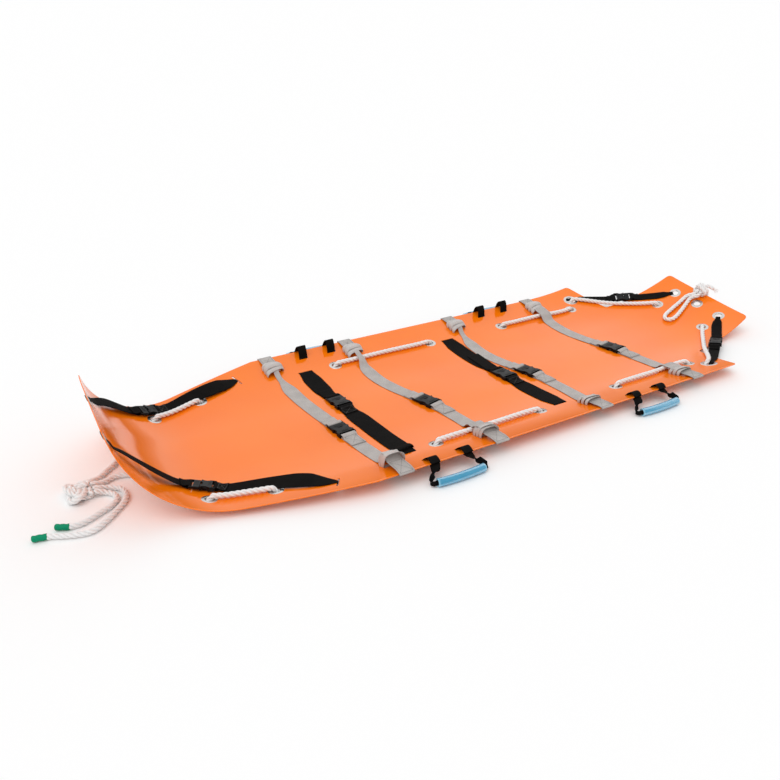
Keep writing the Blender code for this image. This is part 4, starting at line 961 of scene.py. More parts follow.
def make_ropes():
    """Every rope, its knots and sleeves."""
    starts = {}
    for side, word in SIDES:
        route, radii = side_rope_route(side)
        mesh, path = rope_mesh(f"side_rope_{word}_laid", route, radius=radii, closed=(False, False))
        rope_piece(mesh, f"side_rope_{word}")
        starts[word] = path[0], unit(path[0] - path[1])

    middle, along, across, out = head_knot_axes()
    knot = rope_piece(knot_strands("head_knot_tied", head_knot_routes()), "head_knot")
    before, tip = (middle + along * a + across * c + out * o for a, c, o in HEAD_TAIL[1:])
    fray = rope_piece(frayed_end("head_knot_fray", tip, tip - before))
    face = middle - along * (HEAD_KNOT_SIZE[0] / 2 + SEAT)
    ends = [face + across * STRAND_STEP * k for k in (-0.5, 0.5)]
    rise = np.array([4 * MM] + [0] * (len(LOOP) - 2) + [4 * MM])
    u, v = np.array(LOOP).T
    flat = sheet_at(u, v, ROPE_LOW + ROPE_PROUD + LOOP_LIFT + rise)
    lead = along * LEAD_LONG
    mesh, path = rope_mesh("head_loop_laid", [ends[0], ends[0] - lead, *flat, ends[1] - lead, ends[1]])
    loop = rope_piece(mesh, "head_loop")

    x, y = FOOT_KNOT_AT
    z = FOOT_KNOT_SIZE[2] / 2 + SEAT
    shift = np.array((CENTRE_X, 0, 0))
    knot = rope_piece(knot_strands("foot_knot_tied", foot_knot_routes()), "foot_knot")
    low = FULL_R + 1.2 * MM
    ends = [np.array((x + FOOT_KNOT_SIZE[0] / 2 + SEAT, y + k, z)) for k in FOOT_KNOT_STRANDS]
    lead = np.array((LEAD_LONG, 0, 0))
    for (word, (start, away)), end in zip(starts.items(), ends):
        ways = [np.array((a, b, low + h)) for a, b, h in TOW_ROUTES[word]]
        route = [start, start + away * 12 * MM] + [p + shift for p in ways + [end + lead, end]]
        mesh, path = rope_mesh(f"tow_rope_{word}_laid", route, closed=(False, False))
        rope = rope_piece(mesh, f"tow_rope_{word}")
        pieces_on = [knot] if word == "left" else []
    for word, end in zip(("left", "right"), ends[2:]):
        flat = [np.array((a, b, low)) for a, b in TAIL_ROUTES[word]]
        mesh, path = rope_mesh(f"tail_{word}_laid", [p + shift for p in [end, end + lead] + flat])
        path[:, 2] = np.maximum(path[:, 2], low)
        rope = rope_piece(mesh, f"tail_{word}")
        cover = sleeve_mesh(f"tail_{word}_sleeve", path)
        sleeve = piece(cover.name, cover, GREEN)
        end + shift


def sleeve_mesh(name, path):
    """Green sleeve shrunk on a rope's end: the rope's own section, a little thicker, with its grooves
    half filled, and a closed round end. It takes the whole rope's frames, so that its ridges lie over
    the rope's strands."""
    s = lengths(path)
    keep = s > s[-1] - TAPE_LONG
    tip = unit(path[-1] - path[-2]) * SLEEVE_PAST
    line = np.vstack([path[keep], path[-1] + tip])
    at = np.append(s[keep], s[-1] + SLEEVE_PAST)
    across, over = (np.vstack([frame[keep], frame[-1:]]) for frame in carried_frames(path))
    share = 1 - (1 - rope_section()) * 0.45
    cols = len(share)
    angle = round_angles(cols)[None, :] + (2 * pi * at / ROPE_LAY)[:, None]
    near = np.clip(np.minimum(at - at[0], at[-1] - at) / SLEEVE_DOME, 0, 1)
    size = (FULL_R + SLEEVE_THICK) * np.sqrt(np.clip(1 - (1 - near) ** 2, 0.2, 1))
    grid = rows_round(line, across, over, size[:, None] * share[None, :], angle)
    uv = np.stack(np.broadcast_arrays((np.arange(cols + 1) / cols)[None, :] * 0.045, at[:, None]), -1)
    return tube_mesh(name, grid, uv)


make_ropes()


# The sheet and its eyelets

SHEET_ROWS = 300
SHEET_COLUMNS = 121
LEAST_ROW_STEP = 0.6 * MM
SHEET_EDGE_ROUND = 0.9 * MM
BORE_CLEAR = 0.6 * MM


def half_width(u):
    """Half width of the flat sheet: a bulged taper to the shoulder, then nearly straight."""
    u = np.asarray(u, float)
    t = (u - FOOT_END_U) / (SHOULDER_U - FOOT_END_U)
    taper = FOOT_HALF + (SHOULDER_HALF - FOOT_HALF) * t + 4 * TAPER_BULGE * t * (1 - t)
    t = (u - SHOULDER_U) / (SIDE_END_U - SHOULDER_U)
    return np.where(u < SHOULDER_U, taper, SHOULDER_HALF + (SIDE_END_HALF - SHOULDER_HALF) * t)


def rounded(before, corner, after, radius, steps=10):
    """Points of the quadratic arc that rounds a corner of a flat outline."""
    a, b = unit(np.subtract(before, corner)), unit(np.subtract(after, corner))
    reach = radius / max(sqrt((1 - a @ b) / (1 + a @ b)), 0.1)
    start, end = corner + a * reach, corner + b * reach
    t = np.linspace(0, 1, steps + 1)[:, None]
    return start * (1 - t) ** 2 + 2 * np.asarray(corner) * t * (1 - t) + end * t * t


def half_outline():
    """The left half of the flat outline as (u, half width), from the foot end to the flap's end."""
    u = np.linspace(FOOT_END_U, SHOULDER_U, 60)
    side = np.stack([u, half_width(u)], -1)
    end, notch = np.array((SIDE_END_U, SIDE_END_HALF)), np.array((NOTCH_U, NOTCH_HALF))
    flap = np.array((FLAP_END_U, FLAP_HALF))
    return np.vstack([rounded((FOOT_END_U, 0), side[0], side[3], CORNER_ROUND), side[4:],
                      rounded(side[-1], end, notch, CORNER_ROUND), rounded(end, notch, flap, NOTCH_ROUND),
                      rounded(notch, flap, (FLAP_END_U, 0), CORNER_ROUND)])


def eyelet_places():
    """Every eyelet as (u, v, bore)."""
    out = [(u, v, BIG_EYELET_BORE if i == BIG_EYELET else EYELET_BORE)
           for i, (u, v) in enumerate(ROPE_EYELETS)]
    out += [(*FOOT_STRAP_EYELET, EYELET_BORE), (*HEAD_STRAP_EYELET, EYELET_BORE)]
    return out + [(u, -v, bore) for u, v, bore in out] + [(*HEAD_FREE_EYELET, EYELET_BORE)]


def swing(u, lean, slack, v, reach):
    """Place along the sheet of a slack strap at v, held straight past its reach."""
    w = np.clip(v, -reach, reach)
    return u + lean * w - slack * np.sin(pi * w / reach)


def cross_u(number, v):
    """Place along the sheet of a cross strap at v."""
    u, lean, slack, _ = CROSS_STRAPS[number]
    return swing(u, lean, slack, v, CROSS_SLOT_V - 0.02)


def body_u(number, v):
    """Place along the sheet of a body strap at v."""
    u, lean, slack, _, slot_v, _ = BODY_STRAPS[number]
    return swing(u, lean, slack, v, slot_v - 0.02)


def slot_places():
    """Every slot as (u, v, strap direction, strap width)."""
    out = []
    for side, word in SIDES:
        for number in CROSS_STRAPS:
            out.append((cross_u(number, side * CROSS_SLOT_V), side * CROSS_SLOT_V, (0, 1), CROSS_WEB))
        for number, (_, _, _, _, slot_v, _) in BODY_STRAPS.items():
            out.append((body_u(number, side * slot_v), side * slot_v, (0, 1), CROSS_WEB))
        for place in HANDLES.values():
            for end in (-1, 1):
                out.append((place + end * HANDLE_RING_SPREAD / 2, side * HANDLE_SLOT_V, (0, 1), HANDLE_WEB))
        u, v = FOOT_SLOT
        last = FOOT_BANDS[word][-1]
        out.append((u, side * v, unit((last[0] - u, last[1] - side * v)), END_BAND))
    return out


def prism(name, outline, low=-0.01, high=0.01):
    """A closed upright prism on a flat convex outline (n, 2)."""
    n = len(outline)
    bm = bmesh.new()
    verts = [bm.verts.new((x, y, z)) for z in (low, high) for x, y in outline]
    for a in range(n):
        b = (a + 1) % n
        bm.faces.new((verts[a], verts[b], verts[n + b], verts[n + a]))
    bm.faces.new(verts[:n][::-1])
    bm.faces.new(verts[n:])
    bmesh.ops.recalc_face_normals(bm, faces=bm.faces)
    return bmesh_mesh(name, bm)


def carved(mesh, tools, extra=None):
    """The mesh with each tool mesh cut out of it; extra adds modifiers before the cuts."""
    body = placed("carving", mesh)
    if extra:
        extra(body)
    cutters = []
    for tool in tools:
        cutter = placed("cutter", tool)
        cut = body.modifiers.new("cut", "BOOLEAN")
        cut.operation = "DIFFERENCE"
        cut.object = cutter
        cutters.append(cutter)
    bpy.context.view_layer.update()
    out = bpy.data.meshes.new_from_object(body.evaluated_get(bpy.context.evaluated_depsgraph_get()))
    for obj in cutters + [body]:
        bpy.data.objects.remove(obj, do_unlink=True)
    return out


def sheet_mesh():
    """The sheet: a flat grid whose rows reach from edge to edge of the outline, given its thickness
    and round edges, pierced, then bent point by point by sheet_at."""
    edge = half_outline()
    even = np.linspace(FOOT_END_U, FLAP_END_U, SHEET_ROWS)
    us = np.unique(np.concatenate([even, edge[:, 0]]).round(5))
    us = us[np.concatenate([[True], np.diff(us) > LEAST_ROW_STEP])]
    us[0], us[-1] = FOOT_END_U, FLAP_END_U
    half = np.interp(us, edge[:, 0], edge[:, 1])
    half[0] = edge[0, 1]
    half[-1] = edge[-1, 1]
    across = np.linspace(-1, 1, SHEET_COLUMNS)
    rows, cols = len(us), len(across)
    points = np.stack([np.repeat(us, cols), (half[:, None] * across[None, :]).ravel(),
                       np.zeros(rows * cols)], -1)
    i, j = (a.ravel() for a in np.mgrid[0:rows - 1, 0:cols - 1])
    quads = np.stack([i * cols + j, (i + 1) * cols + j, (i + 1) * cols + j + 1, i * cols + j + 1], -1)
    slab = mesh_from("sheet_flat", points, [quads])

    def thicken(body):
        """Gives the flat grid its thickness and rounds its edges."""
        solid = body.modifiers.new("thickness", "SOLIDIFY")
        solid.thickness = SHEET_THICK
        solid.offset = 0.0
        bevel = body.modifiers.new("round_edges", "BEVEL")
        bevel.width = SHEET_EDGE_ROUND
        bevel.segments = 2
        bevel.limit_method = "ANGLE"
        bevel.angle_limit = radians(60)

    holes = [prism("bore", np.array((u, v)) + circle(40, bore / 2 + BORE_CLEAR))
             for u, v, bore in eyelet_places()]
    for u, v, way, wide in slot_places():
        way = np.array(way)
        long = np.array((-way[1], way[0]))
        reach, tip_r = (wide + SLOT_LONG_EXTRA) / 2 - SLOT_WIDE / 2, SLOT_WIDE / 2
        tip = np.array([long * (reach + tip_r * cos(a)) + way * tip_r * sin(a)
                        for a in np.linspace(-pi / 2, pi / 2, 7)])
        holes.append(prism("slot", np.array((u, v)) + np.vstack([tip, -tip])))
    flat = carved(slab, [joined(holes, "holes")], thicken)
    co = np.empty(len(flat.vertices) * 3, np.float32)
    flat.vertices.foreach_get("co", co)
    co = co.reshape(-1, 3).astype(float)
    flat.vertices.foreach_set("co", sheet_at(*co.T).astype(np.float32).ravel())
    corner = np.empty(len(flat.loops), np.int32)
    flat.loops.foreach_get("vertex_index", corner)
    for layer in list(flat.uv_layers):
        flat.uv_layers.remove(layer)
    flat.uv_layers.new(name="flat").data.foreach_set("uv", co[corner, :2].astype(np.float32).ravel())
    flat.update()
    return flat


def eyelet_mesh(u, v, bore):
    """A two-flanged eyelet as a turned ring on the sheet: its profile of (radius, height) goes up the
    bore, over a rolled lip, out along the top flange, and back along the washer underneath."""
    r = bore / 2
    rim = r + EYELET_RIM
    top, low = HALF_SHEET, -HALF_SHEET
    profile = np.array([(r - 0.2 * MM, 0), (r - 0.2 * MM, top), (r + 0.2 * MM, top + 0.62 * MM),
                        (r + 1.3 * MM, top + 0.98 * MM), (r + 3.0 * MM, top + 0.92 * MM),
                        (rim - 4.2 * MM, top + 0.70 * MM), (rim - 3.6 * MM, top + 0.52 * MM),
                        (rim - 1.2 * MM, top + 0.46 * MM), (rim - 0.3 * MM, top + 0.30 * MM),
                        (rim, top + 0.02 * MM), (rim - 0.5 * MM, top - 0.3 * MM),
                        (r + 0.9 * MM, top - 0.3 * MM), (r + 0.9 * MM, low + 0.3 * MM),
                        (rim - 1.5 * MM, low + 0.2 * MM),
                        (rim - 1.0 * MM, low - 0.25 * MM), (r + 2.6 * MM, low - 0.45 * MM),
                        (r + 0.6 * MM, low - 0.5 * MM), (r - 0.1 * MM, low - 0.1 * MM)])
    turn = round_angles(48)[:, None]
    grid = sheet_at(u + profile[:, 0] * np.cos(turn), v + profile[:, 0] * np.sin(turn), profile[:, 1])
    a, b, c, d = wrapped_cells(*grid.shape[:2])
    return mesh_from("eyelet", grid.reshape(-1, 3), [np.stack([a, d, c, b], -1)])


def make_sheet():
    """The pierced and bent sheet, and all its eyelets as one piece."""
    piece("sheet_skin", sheet_mesh(), ORANGE, nodes=["sheet"], sharp=30)
    rings = joined([eyelet_mesh(*place) for place in eyelet_places()], "eyelets")
    piece("eyelets", rings, NICKEL, sharp=50)


make_sheet()


# Webbing

class Webbing:
    """A strip of webbing through stations of (middle, side vector, half width)."""

    def __init__(self, stations, step=4 * MM, thick=WEB_THICK):
        mids, sides, halves = (np.array(a, float) for a in zip(*stations))
        self.mid, where = smooth(mids, step)
        index = np.arange(len(mids))
        side = unit(np.stack([np.interp(where, index, sides[:, i]) for i in range(3)], -1))
        run = unit(np.gradient(self.mid, axis=0))
        self.side = unit(side - run * (side * run).sum(-1, keepdims=True))
        self.up = np.cross(run, self.side)
        self.half = np.interp(where, index, halves)
        self.reach = lengths(self.mid)
        self.thick = thick

    def at(self, s, a, h):
        """World points at distances s along, a across the strip and h above its middle layer."""
        mid, side, up = (np.stack([np.interp(s, self.reach, line[:, i]) for i in range(3)], -1)
                         for line in (self.mid, self.side, self.up))
        return mid + unit(side) * np.asarray(a)[..., None] + unit(up) * np.asarray(h)[..., None]

    def mesh(self, name, camber=0.0, wave=0.0, seed=0):
        """The strip's skin: nine points over each face and round selvedges, carried along it.

        Camber lifts the middle by a share of the half width; wave adds slow ripples along."""
        across, turn = np.linspace(1, -1, 9), np.radians((45, 90, 135))
        c = np.concatenate([across, np.full(3, -1.0), across[::-1], np.full(3, 1.0)])
        dx = np.concatenate([np.zeros(9), -np.sin(turn), np.zeros(9), np.sin(turn)])
        dz = np.concatenate([np.ones(9), np.cos(turn), -np.ones(9), -np.cos(turn)])
        t = self.thick / 2
        a = c[None, :] * (self.half[:, None] - t) + dx[None, :] * t
        s = self.reach[:, None]
        ripple = wave * (np.sin(s * 47 + seed) * np.sin(s * 19 + 2 * seed) * c[None, :])
        b = dz[None, :] * t + camber * self.half[:, None] * (1 - c[None, :] ** 2) + ripple
        grid = self.mid[:, None] + self.side[:, None] * a[..., None] + self.up[:, None] * b[..., None]
        face = np.concatenate([a, a[:, :1]], 1)
        uv = np.stack(np.broadcast_arrays(face, s), -1)
        edge = np.abs(a) / self.half[:, None]
        return tube_mesh(name, grid, uv, {"edge": edge})


def laid(points, widths, ways=None, tilts=None):
    """Stations from (u, v, h) points: the webbing lies square to its way over the flat sheet, turned
    by its tilt about that way."""
    out, reach = [], 1 * MM
    for i, (u, v, h) in enumerate(points):
        before, after = points[max(i - 1, 0)], points[min(i + 1, len(points) - 1)]
        way = np.subtract(after[:2], before[:2])
        if ways and ways[i] is not None:
            way = np.array(ways[i], float)
        x, y = unit(way) * reach
        side = unit(sheet_at(u - y, v + x, h) - sheet_at(u + y, v - x, h))
        if tilts and tilts[i]:
            run = unit(sheet_at(u + x, v + y, h) - sheet_at(u, v, h))
            side = side * cos(tilts[i]) + np.cross(run, side) * sin(tilts[i])
        out.append((sheet_at(u, v, h), side, widths[i] / 2))
    return out


def strap_piece(name, stations, material, body=ROOT, wave=0.0, seed=0):
    """A strap's webbing and the piece made of it, which stands for the node of that name."""
    web = Webbing(stations)
    mesh = web.mesh(f"{name}_woven", wave=wave, seed=seed)
    return web, piece(mesh.name, mesh, material, body=body, nodes=[name])


def round_lip(lip, start, end, steps, inward=False):
    """(across, height) points of webbing that turns round a sheet edge, angles from the top down."""
    way = -1 if inward else 1
    return [(lip + way * WEB_H * sin(a), WEB_H * cos(a)) for a in np.linspace(start, end, steps + 1)]


# Buckles

def buckle_width(web):
    """Width across a buckle for a webbing's width."""
    return web + 2 * BUCKLE_RAIL


def buckle_frame(mouth, pull, up):
    """A buckle's mouth and its axes: pull, across and up."""
    x = unit(pull)
    z = unit(up - x * (up @ x))
    return mouth, x, np.cross(z, x), z


def bar_reach(web, plug):
    """Distance from the mouth to the middle of the strap bar."""
    return (PLUG_LONG if plug else SOCKET_LONG)[web] - BUCKLE_BAR_DEEP / 2


def tail_on(run, start, end, up, half):
    """A loose tail's stations, from its end inwards: a stretch of the strap's run, lifted off it."""
    out, gone = [], 0.0
    for (a, side, _), (b, after, _) in zip(run, run[1:]):
        long = np.linalg.norm(b - a)
        way = (b - a) / long
        lift = unit(up - way * (up @ way)) * (WEB_THICK + 1.4 * GAP)
        for s in (max(start, gone), end):
            if gone <= s < gone + long and s <= end:
                t = (s - gone) / long
                out.append((a + (b - a) * t + lift, side + (after - side) * t, half))
        gone += long
    return out[::-1]


def bar_turn(buckle, web, plug, tail, run_h, run):
    """Stations of webbing with its loose tail, its turn round a strap bar and its main run.

    Heights are above the buckle's underside; the main run starts BAR_RUN past the bar."""
    mouth, x, y, z = buckle
    bar = bar_reach(web, plug)
    mid = BUCKLE_HIGH / 2
    turn = BUCKLE_BAR_DEEP / 2 + 1.1 * MM + WEB_THICK / 2
    pairs = [(bar + 8.5 * MM, mid + turn * 0.74)]
    pairs += [(bar - turn * sin(a), mid + turn * cos(a)) for a in np.linspace(0, pi, 9)]
    pairs += [(bar + 6 * MM, mid - turn - 0.2 * MM), (bar + BAR_RUN, run_h)]
    way, side = (x, y) if plug else (-x, -y)
    bent = [(mouth + way * a + z * h, side, web / 2) for a, h in pairs]
    return tail_on(bent[-1:] + run, 5 * MM, tail - BAR_RUN, z, web / 2) + bent + run


def box_mesh(name, low, high, edge=0.0, segments=3):
    """A box between two corners with rounded edges."""
    low, high = np.array(low), np.array(high)
    bm = bmesh.new()
    bmesh.ops.create_cube(bm, size=1.0)
    for vert in bm.verts:
        vert.co = Vector(np.array(vert.co) * (high - low) + (low + high) / 2)
    if edge:
        bmesh.ops.bevel(bm, geom=bm.edges[:], offset=edge, segments=segments, profile=0.5, affect="EDGES")
    return bmesh_mesh(name, bm)


def loft(name, sections):
    """A closed tube through sections of (centre, half width vector, half height vector), each a
    rounded rectangle: the sign of cos and sin times their size to the power one half."""
    a = circle(24, 1.0)
    c, s = (np.sign(a) * np.abs(a) ** 0.5).T
    grid = np.array([np.array(mid) + np.outer(c, wide) + np.outer(s, tall) for mid, wide, tall in sections])
    return tube_mesh(name, grid)


TOOL_REACH = 30 * MM
TOOL_PAST = 10 * MM
BAR_EASE = 0.8 * MM
WINDOW_HALF_LONG = 7 * MM
WINDOW_HALF_HIGH = 2.8 * MM


def box_along(name, ends, half, heights, edge=0.0, segments=3):
    """A box between two places along X, half to either side, between two heights."""
    return box_mesh(name, (min(ends), -half, heights[0]), (max(ends), half, heights[1]), edge, segments)


def bar_cuts(web, long, way):
    """Cutting tools round the strap bar at a buckle part's end, long from the mouth on +X or -X: the
    slot inside the bar, and a step above and below that leaves the bar thin."""
    wide, mid, inner = web / 2 + BAR_EASE, BUCKLE_HIGH / 2, long - BUCKLE_BAR_DEEP
    slot = (way * inner, way * (inner - BAR_SLOT))
    step = (way * (inner - BAR_SLOT + 1 * MM), way * (long + TOOL_PAST))
    tools = [box_along("slot", slot, wide, (-TOOL_PAST, TOOL_REACH), 0.8 * MM, 2)]
    for heights in ((mid + BUCKLE_BAR / 2, TOOL_REACH), (-TOOL_REACH, mid - BUCKLE_BAR / 2)):
        tools.append(box_along("bar_step", step, wide, heights))
    return tools


def socket_mesh(web):
    """The socket: a crowned box with a waist, its mouth at x = 0, running to -X on z = 0.

    The cavity, the side windows that show the latch arms, the waist, the scoop at the mouth, the
    grip grooves and the strap bar's slot are cut out of it."""
    long, half = SOCKET_LONG[web], buckle_width(web) / 2
    mid, deep = BUCKLE_HIGH / 2, CAVITY_DEEP[web]
    inside = half - CAVITY_WALL
    middle = -deep / 2
    body = box_mesh("socket_body", (-long, -half, 0), (0, half, BUCKLE_HIGH), 2.2 * MM, 4)
    tools = [box_along("cavity", (-deep, TOOL_PAST), inside, (mid - CAVITY_HIGH / 2, mid + CAVITY_HIGH / 2),
                       0.8 * MM, 2)]
    for side in (-1, 1):
        centre = np.array((middle, side * (half + WAIST_ROUND - PINCH_DEEP)))
        tools.append(prism("waist", centre + circle(64, WAIST_ROUND), -TOOL_PAST, TOOL_REACH))
        window = np.array((middle, side * (inside + 2 * CAVITY_WALL), mid))
        reach = np.array((WINDOW_HALF_LONG, 3 * CAVITY_WALL, WINDOW_HALF_HIGH))
        tools.append(box_mesh("window", window - reach, window + reach, 1.2 * MM, 3))
    mouth = [(-6.5 * MM, 0), (-4.5 * MM, half * 0.30), (2 * MM, half * 0.46), (2 * MM, -half * 0.46),
             (-4.5 * MM, -half * 0.30)]
    tools.append(prism("mouth_scoop", mouth, mid, TOOL_REACH))
    tools += bar_cuts(web, long, -1)
    for k in range(3):
        x = -deep - 0.6 * MM + k * 2.6 * MM
        tools.append(box_along("groove", (x, x + 1.2 * MM), half * 0.42, (BUCKLE_HIGH - 0.5 * MM, TOOL_REACH),
                               0.3 * MM, 1))
    return carved(body, tools)


def plug_mesh(web):
    """The plug: two latch arms and a guide tongue to -X, a ribbed thumb plate and a strap bar at +X."""
    long, half = PLUG_LONG[web], buckle_width(web) / 2 - PLUG_SIDE_STEP
    mid = BUCKLE_HIGH / 2
    top = mid + PLUG_HIGH / 2
    body = box_along("plug_body", (SEAT, long), half, (mid - PLUG_HIGH / 2, top), 1.6 * MM, 4)
    tools = bar_cuts(web, long, 1)
    for k in range(4):
        x = 5 * MM + k * 2.8 * MM
        tools.append(box_along("groove", (x, x + 1.3 * MM), half * 0.55, (top - 0.6 * MM, TOOL_REACH),
                               0.3 * MM, 1))
    body = carved(body, tools)
    inside = buckle_width(web) / 2 - CAVITY_WALL - 0.6 * MM
    reach = CAVITY_DEEP[web] - 3 * MM
    y, z = np.array((0, 1.0, 0)), np.array((0, 0, 1.0))
    parts = [body]
    for side in (-1, 1):
        rows = [(4 * MM, 0.62, 1.0), (-2 * MM, 0.60, 1.0), (-reach * 0.30, 0.50, 1.6),
                (-reach * 0.62, 0.66, 0.4), (-reach * 0.80, 1.0, 0.0), (-reach * 0.93, 0.72, 0.8),
                (-reach, 0.40, 2.4)]
        parts.append(loft("arm", [((x, side * (inside - inset * MM - ARM_WIDE / 2 * w), mid),
                                   y * ARM_WIDE / 2 * w, z * ARM_HIGH / 2 * min(1, 0.75 + 0.25 * w))
                                  for x, w, inset in rows]))
    tip = -(reach - 4 * MM)
    parts.append(loft("tongue", [((x, 0, mid), y * TONGUE_WIDE / 2 * w, z * TONGUE_HIGH / 2 * w ** 0.5)
                                 for x, w in ((4 * MM, 1), (tip * 0.5, 0.94), (tip * 0.9, 0.8), (tip, 0.5))]))
    return joined(parts, f"plug_{round(web / MM)}")


BUCKLE_MESHES = {web: {"socket": socket_mesh(web), "plug": plug_mesh(web)} for web in (CROSS_WEB, END_WEB)}


def make_buckle(name, web, buckle):
    """A buckle's socket and plug in place; the plug rides on its own body."""
    mouth, x, y, z = buckle
    turn = Matrix(np.column_stack([x, y, z]).tolist()).to_4x4()
    for part, mesh in BUCKLE_MESHES[web].items():
        copy = mesh.copy()
        copy.transform(Matrix.Translation(mouth) @ turn)
        body = ROOT if part == "socket" else f"{name}_plug_body"
        piece(f"{name}_{part}_moulded", copy, BUCKLE, body=body, nodes=[f"{name}_{part}"],
              sharp=38)


# Stitching

STITCH_HIGH = 0.45 * MM
SEAM_START = 4 * MM
SEAM_IN = 5 * MM
END_SEAM_IN = 4 * MM
ON_TOP = WEB_THICK / 2


def stitch_run(web, start, end, lift, pitch=4.2 * MM, long=3.3 * MM, wide=0.70 * MM):
    """Stitches in a straight row between two (along, across) places on a strip: each is a low pillow
    of three by four points."""
    start, end = np.array(start), np.array(end)
    total = np.linalg.norm(end - start)
    count = max(int(total / pitch), 1)
    way = (end - start) / total
    square = np.array((-way[1], way[0]))
    ring = np.radians((0, 90, 180, 270))
    t = np.array((-0.5, -0.25, 0.25, 0.5))
    fat = np.array((0.25, 1, 1, 0.25))
    h = lift + np.sign(lift) * STITCH_HIGH * fat[:, None] * (0.35 + 0.65 * np.sin(ring))[None, :]
    meshes = []
    for mid in start + way * total * ((np.arange(count) + 0.5) / count)[:, None]:
        flat = mid + way * (t * long)[:, None]
        spots = flat[:, None] + square * (wide * fat[:, None] * np.cos(ring))[..., None]
        meshes.append(tube_mesh("stitch", web.at(spots[..., 0], spots[..., 1], h)))
    return meshes


def box_stitch(name, web, low, high, half, lift, material):
    """A sewn box with a cross in it, between two distances along a strip; a lift below zero sews on
    the strip's other face, which is the upper one of a tail."""
    corners = [(low, -half), (low, half), (high, half), (high, -half)]
    runs = [(corners[i], corners[(i + 1) % 4]) for i in range(4)]
    runs += [(corners[0], corners[2]), (corners[1], corners[3])]
    meshes = [m for a, b in runs for m in stitch_run(web, a, b, lift)]
    return piece(name, joined(meshes, name), material, sharp=60)


# Straps across the sheet

def follow_plug(strap, web, start, rigid):
    """Bakes a strap half's place into its mesh. The points at the distances start and rigid along it are
    looked up, but nothing is done with them."""
    tuple(web.at(start, 0.0, 0.0))
    tuple(web.at(rigid, 0.0, 0.0))
    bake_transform(strap)


def slope_at(place, v):
    """How fast a strap's place along the sheet changes with v."""
    step = 2 * MM
    return (place(v + step) - place(v - step)) / (2 * step)


def straight_near(place, middle, reach):
    """The strap's place along the sheet, made straight within a reach of the buckle's middle."""
    lean = slope_at(place, middle)

    def straight(v):
        t = ease((np.abs(v - middle) - reach) / 0.06)
        return (place(middle) + lean * (v - middle)) * (1 - t) + place(v) * t

    return straight


def crossing(place, buckle_v, tails, hitch, width_at):
    """Buckle frame and the two halves' stations of a strap across the sheet: left half on the plug.

    The place along is a function of v. hitch gives the end's (across, height) points for a side, and
    width_at the width at a side's distance across, given also the strap bar's."""
    reach = max(bar_reach(CROSS_WEB, True), bar_reach(CROSS_WEB, False)) + BAR_RUN
    line = straight_near(place, buckle_v, reach)
    base_h = HALF_SHEET + BUCKLE_STANDOFF
    step = 2 * MM
    pull = sheet_at(line(buckle_v + step), buckle_v + step, base_h) \
        - sheet_at(line(buckle_v - step), buckle_v - step, base_h)
    buckle = buckle_frame(sheet_at(line(buckle_v), buckle_v, base_h), pull,
                          sheet_axes(line(buckle_v), buckle_v)[2])
    halves = {}
    for side, word in SIDES:
        plug = side > 0
        start = buckle_v + side * (bar_reach(CROSS_WEB, plug) + BAR_RUN)
        end = hitch(side)
        flat, ways = [], []
        for v in spread(start, side * end[0][0], 0.025)[:-1]:
            flat.append((line(v), v, WEB_H))
            ways.append((side * slope_at(line, v), side))
        for w, h in end:
            flat.append((line(side * w), side * w, h))
            ways.append((0, side))
        bar = buckle_v + side * bar_reach(CROSS_WEB, plug)
        widths = [width_at(side, side * v, side * bar) for _, v, _ in flat]
        run = laid(flat, widths, ways)
        halves[word] = bar_turn(buckle, CROSS_WEB, plug, tails[plug], WEB_H - base_h, run)
    return buckle, halves


def choker(number, side):
    """(across, height) points of a cross strap's end: up through its knuckle, down to the sheet's
    edge as a flat tab, round the edge and back up through the slot into the knuckle."""
    middle = cross_u(number, side * CROSS_SLOT_V)
    half = float(max(half_width(middle + CROSS_WEB / 2), half_width(middle - CROSS_WEB / 2)))
    slot = CROSS_SLOT_V
    high = max(turn[2] for turn in knuckle_style(number, side)[1])
    top = high - 4 * MM
    if number in OVER_ROPE:
        over = RIM_TOP + 3 * GAP + FULL_ROPE_D + WEB_THICK / 2
        out = [(0.255, WEB_H), (0.275, WEB_H + 3 * MM), (0.292, over * 0.8), (0.303, over),
               (0.327, over), (0.340, (over + top) / 2), (slot - 0.018, top * 0.92)]
    else:
        out = [(0.305, WEB_H), (slot - 0.044, WEB_H + 1 * MM), (slot - 0.034, WEB_H + 4 * MM),
               (slot - 0.022, top * 0.66), (slot - 0.015, top * 0.90)]
    out += [(slot - 0.007, top), (slot + 0.001, top * 0.95), (slot + 0.009, top * 0.74),
            (slot + 0.020, top * 0.52 + WEB_H * 0.48)]
    lip = half + TAB_PROUD
    out += [(lip - 0.016, top * 0.20 + WEB_H)]
    out += round_lip(lip, radians(12), pi, 8)
    inner = slot + SLOT_WIDE / 2
    out += [(w, -WEB_H) for w in spread(lip, inner, 0.05)[:-1]]
    out += round_lip(inner, pi, pi / 2, 4, inward=True)
    return out + [(inner - WEB_H, 3 * MM), (inner - WEB_H - 1 * MM, 7 * MM)]


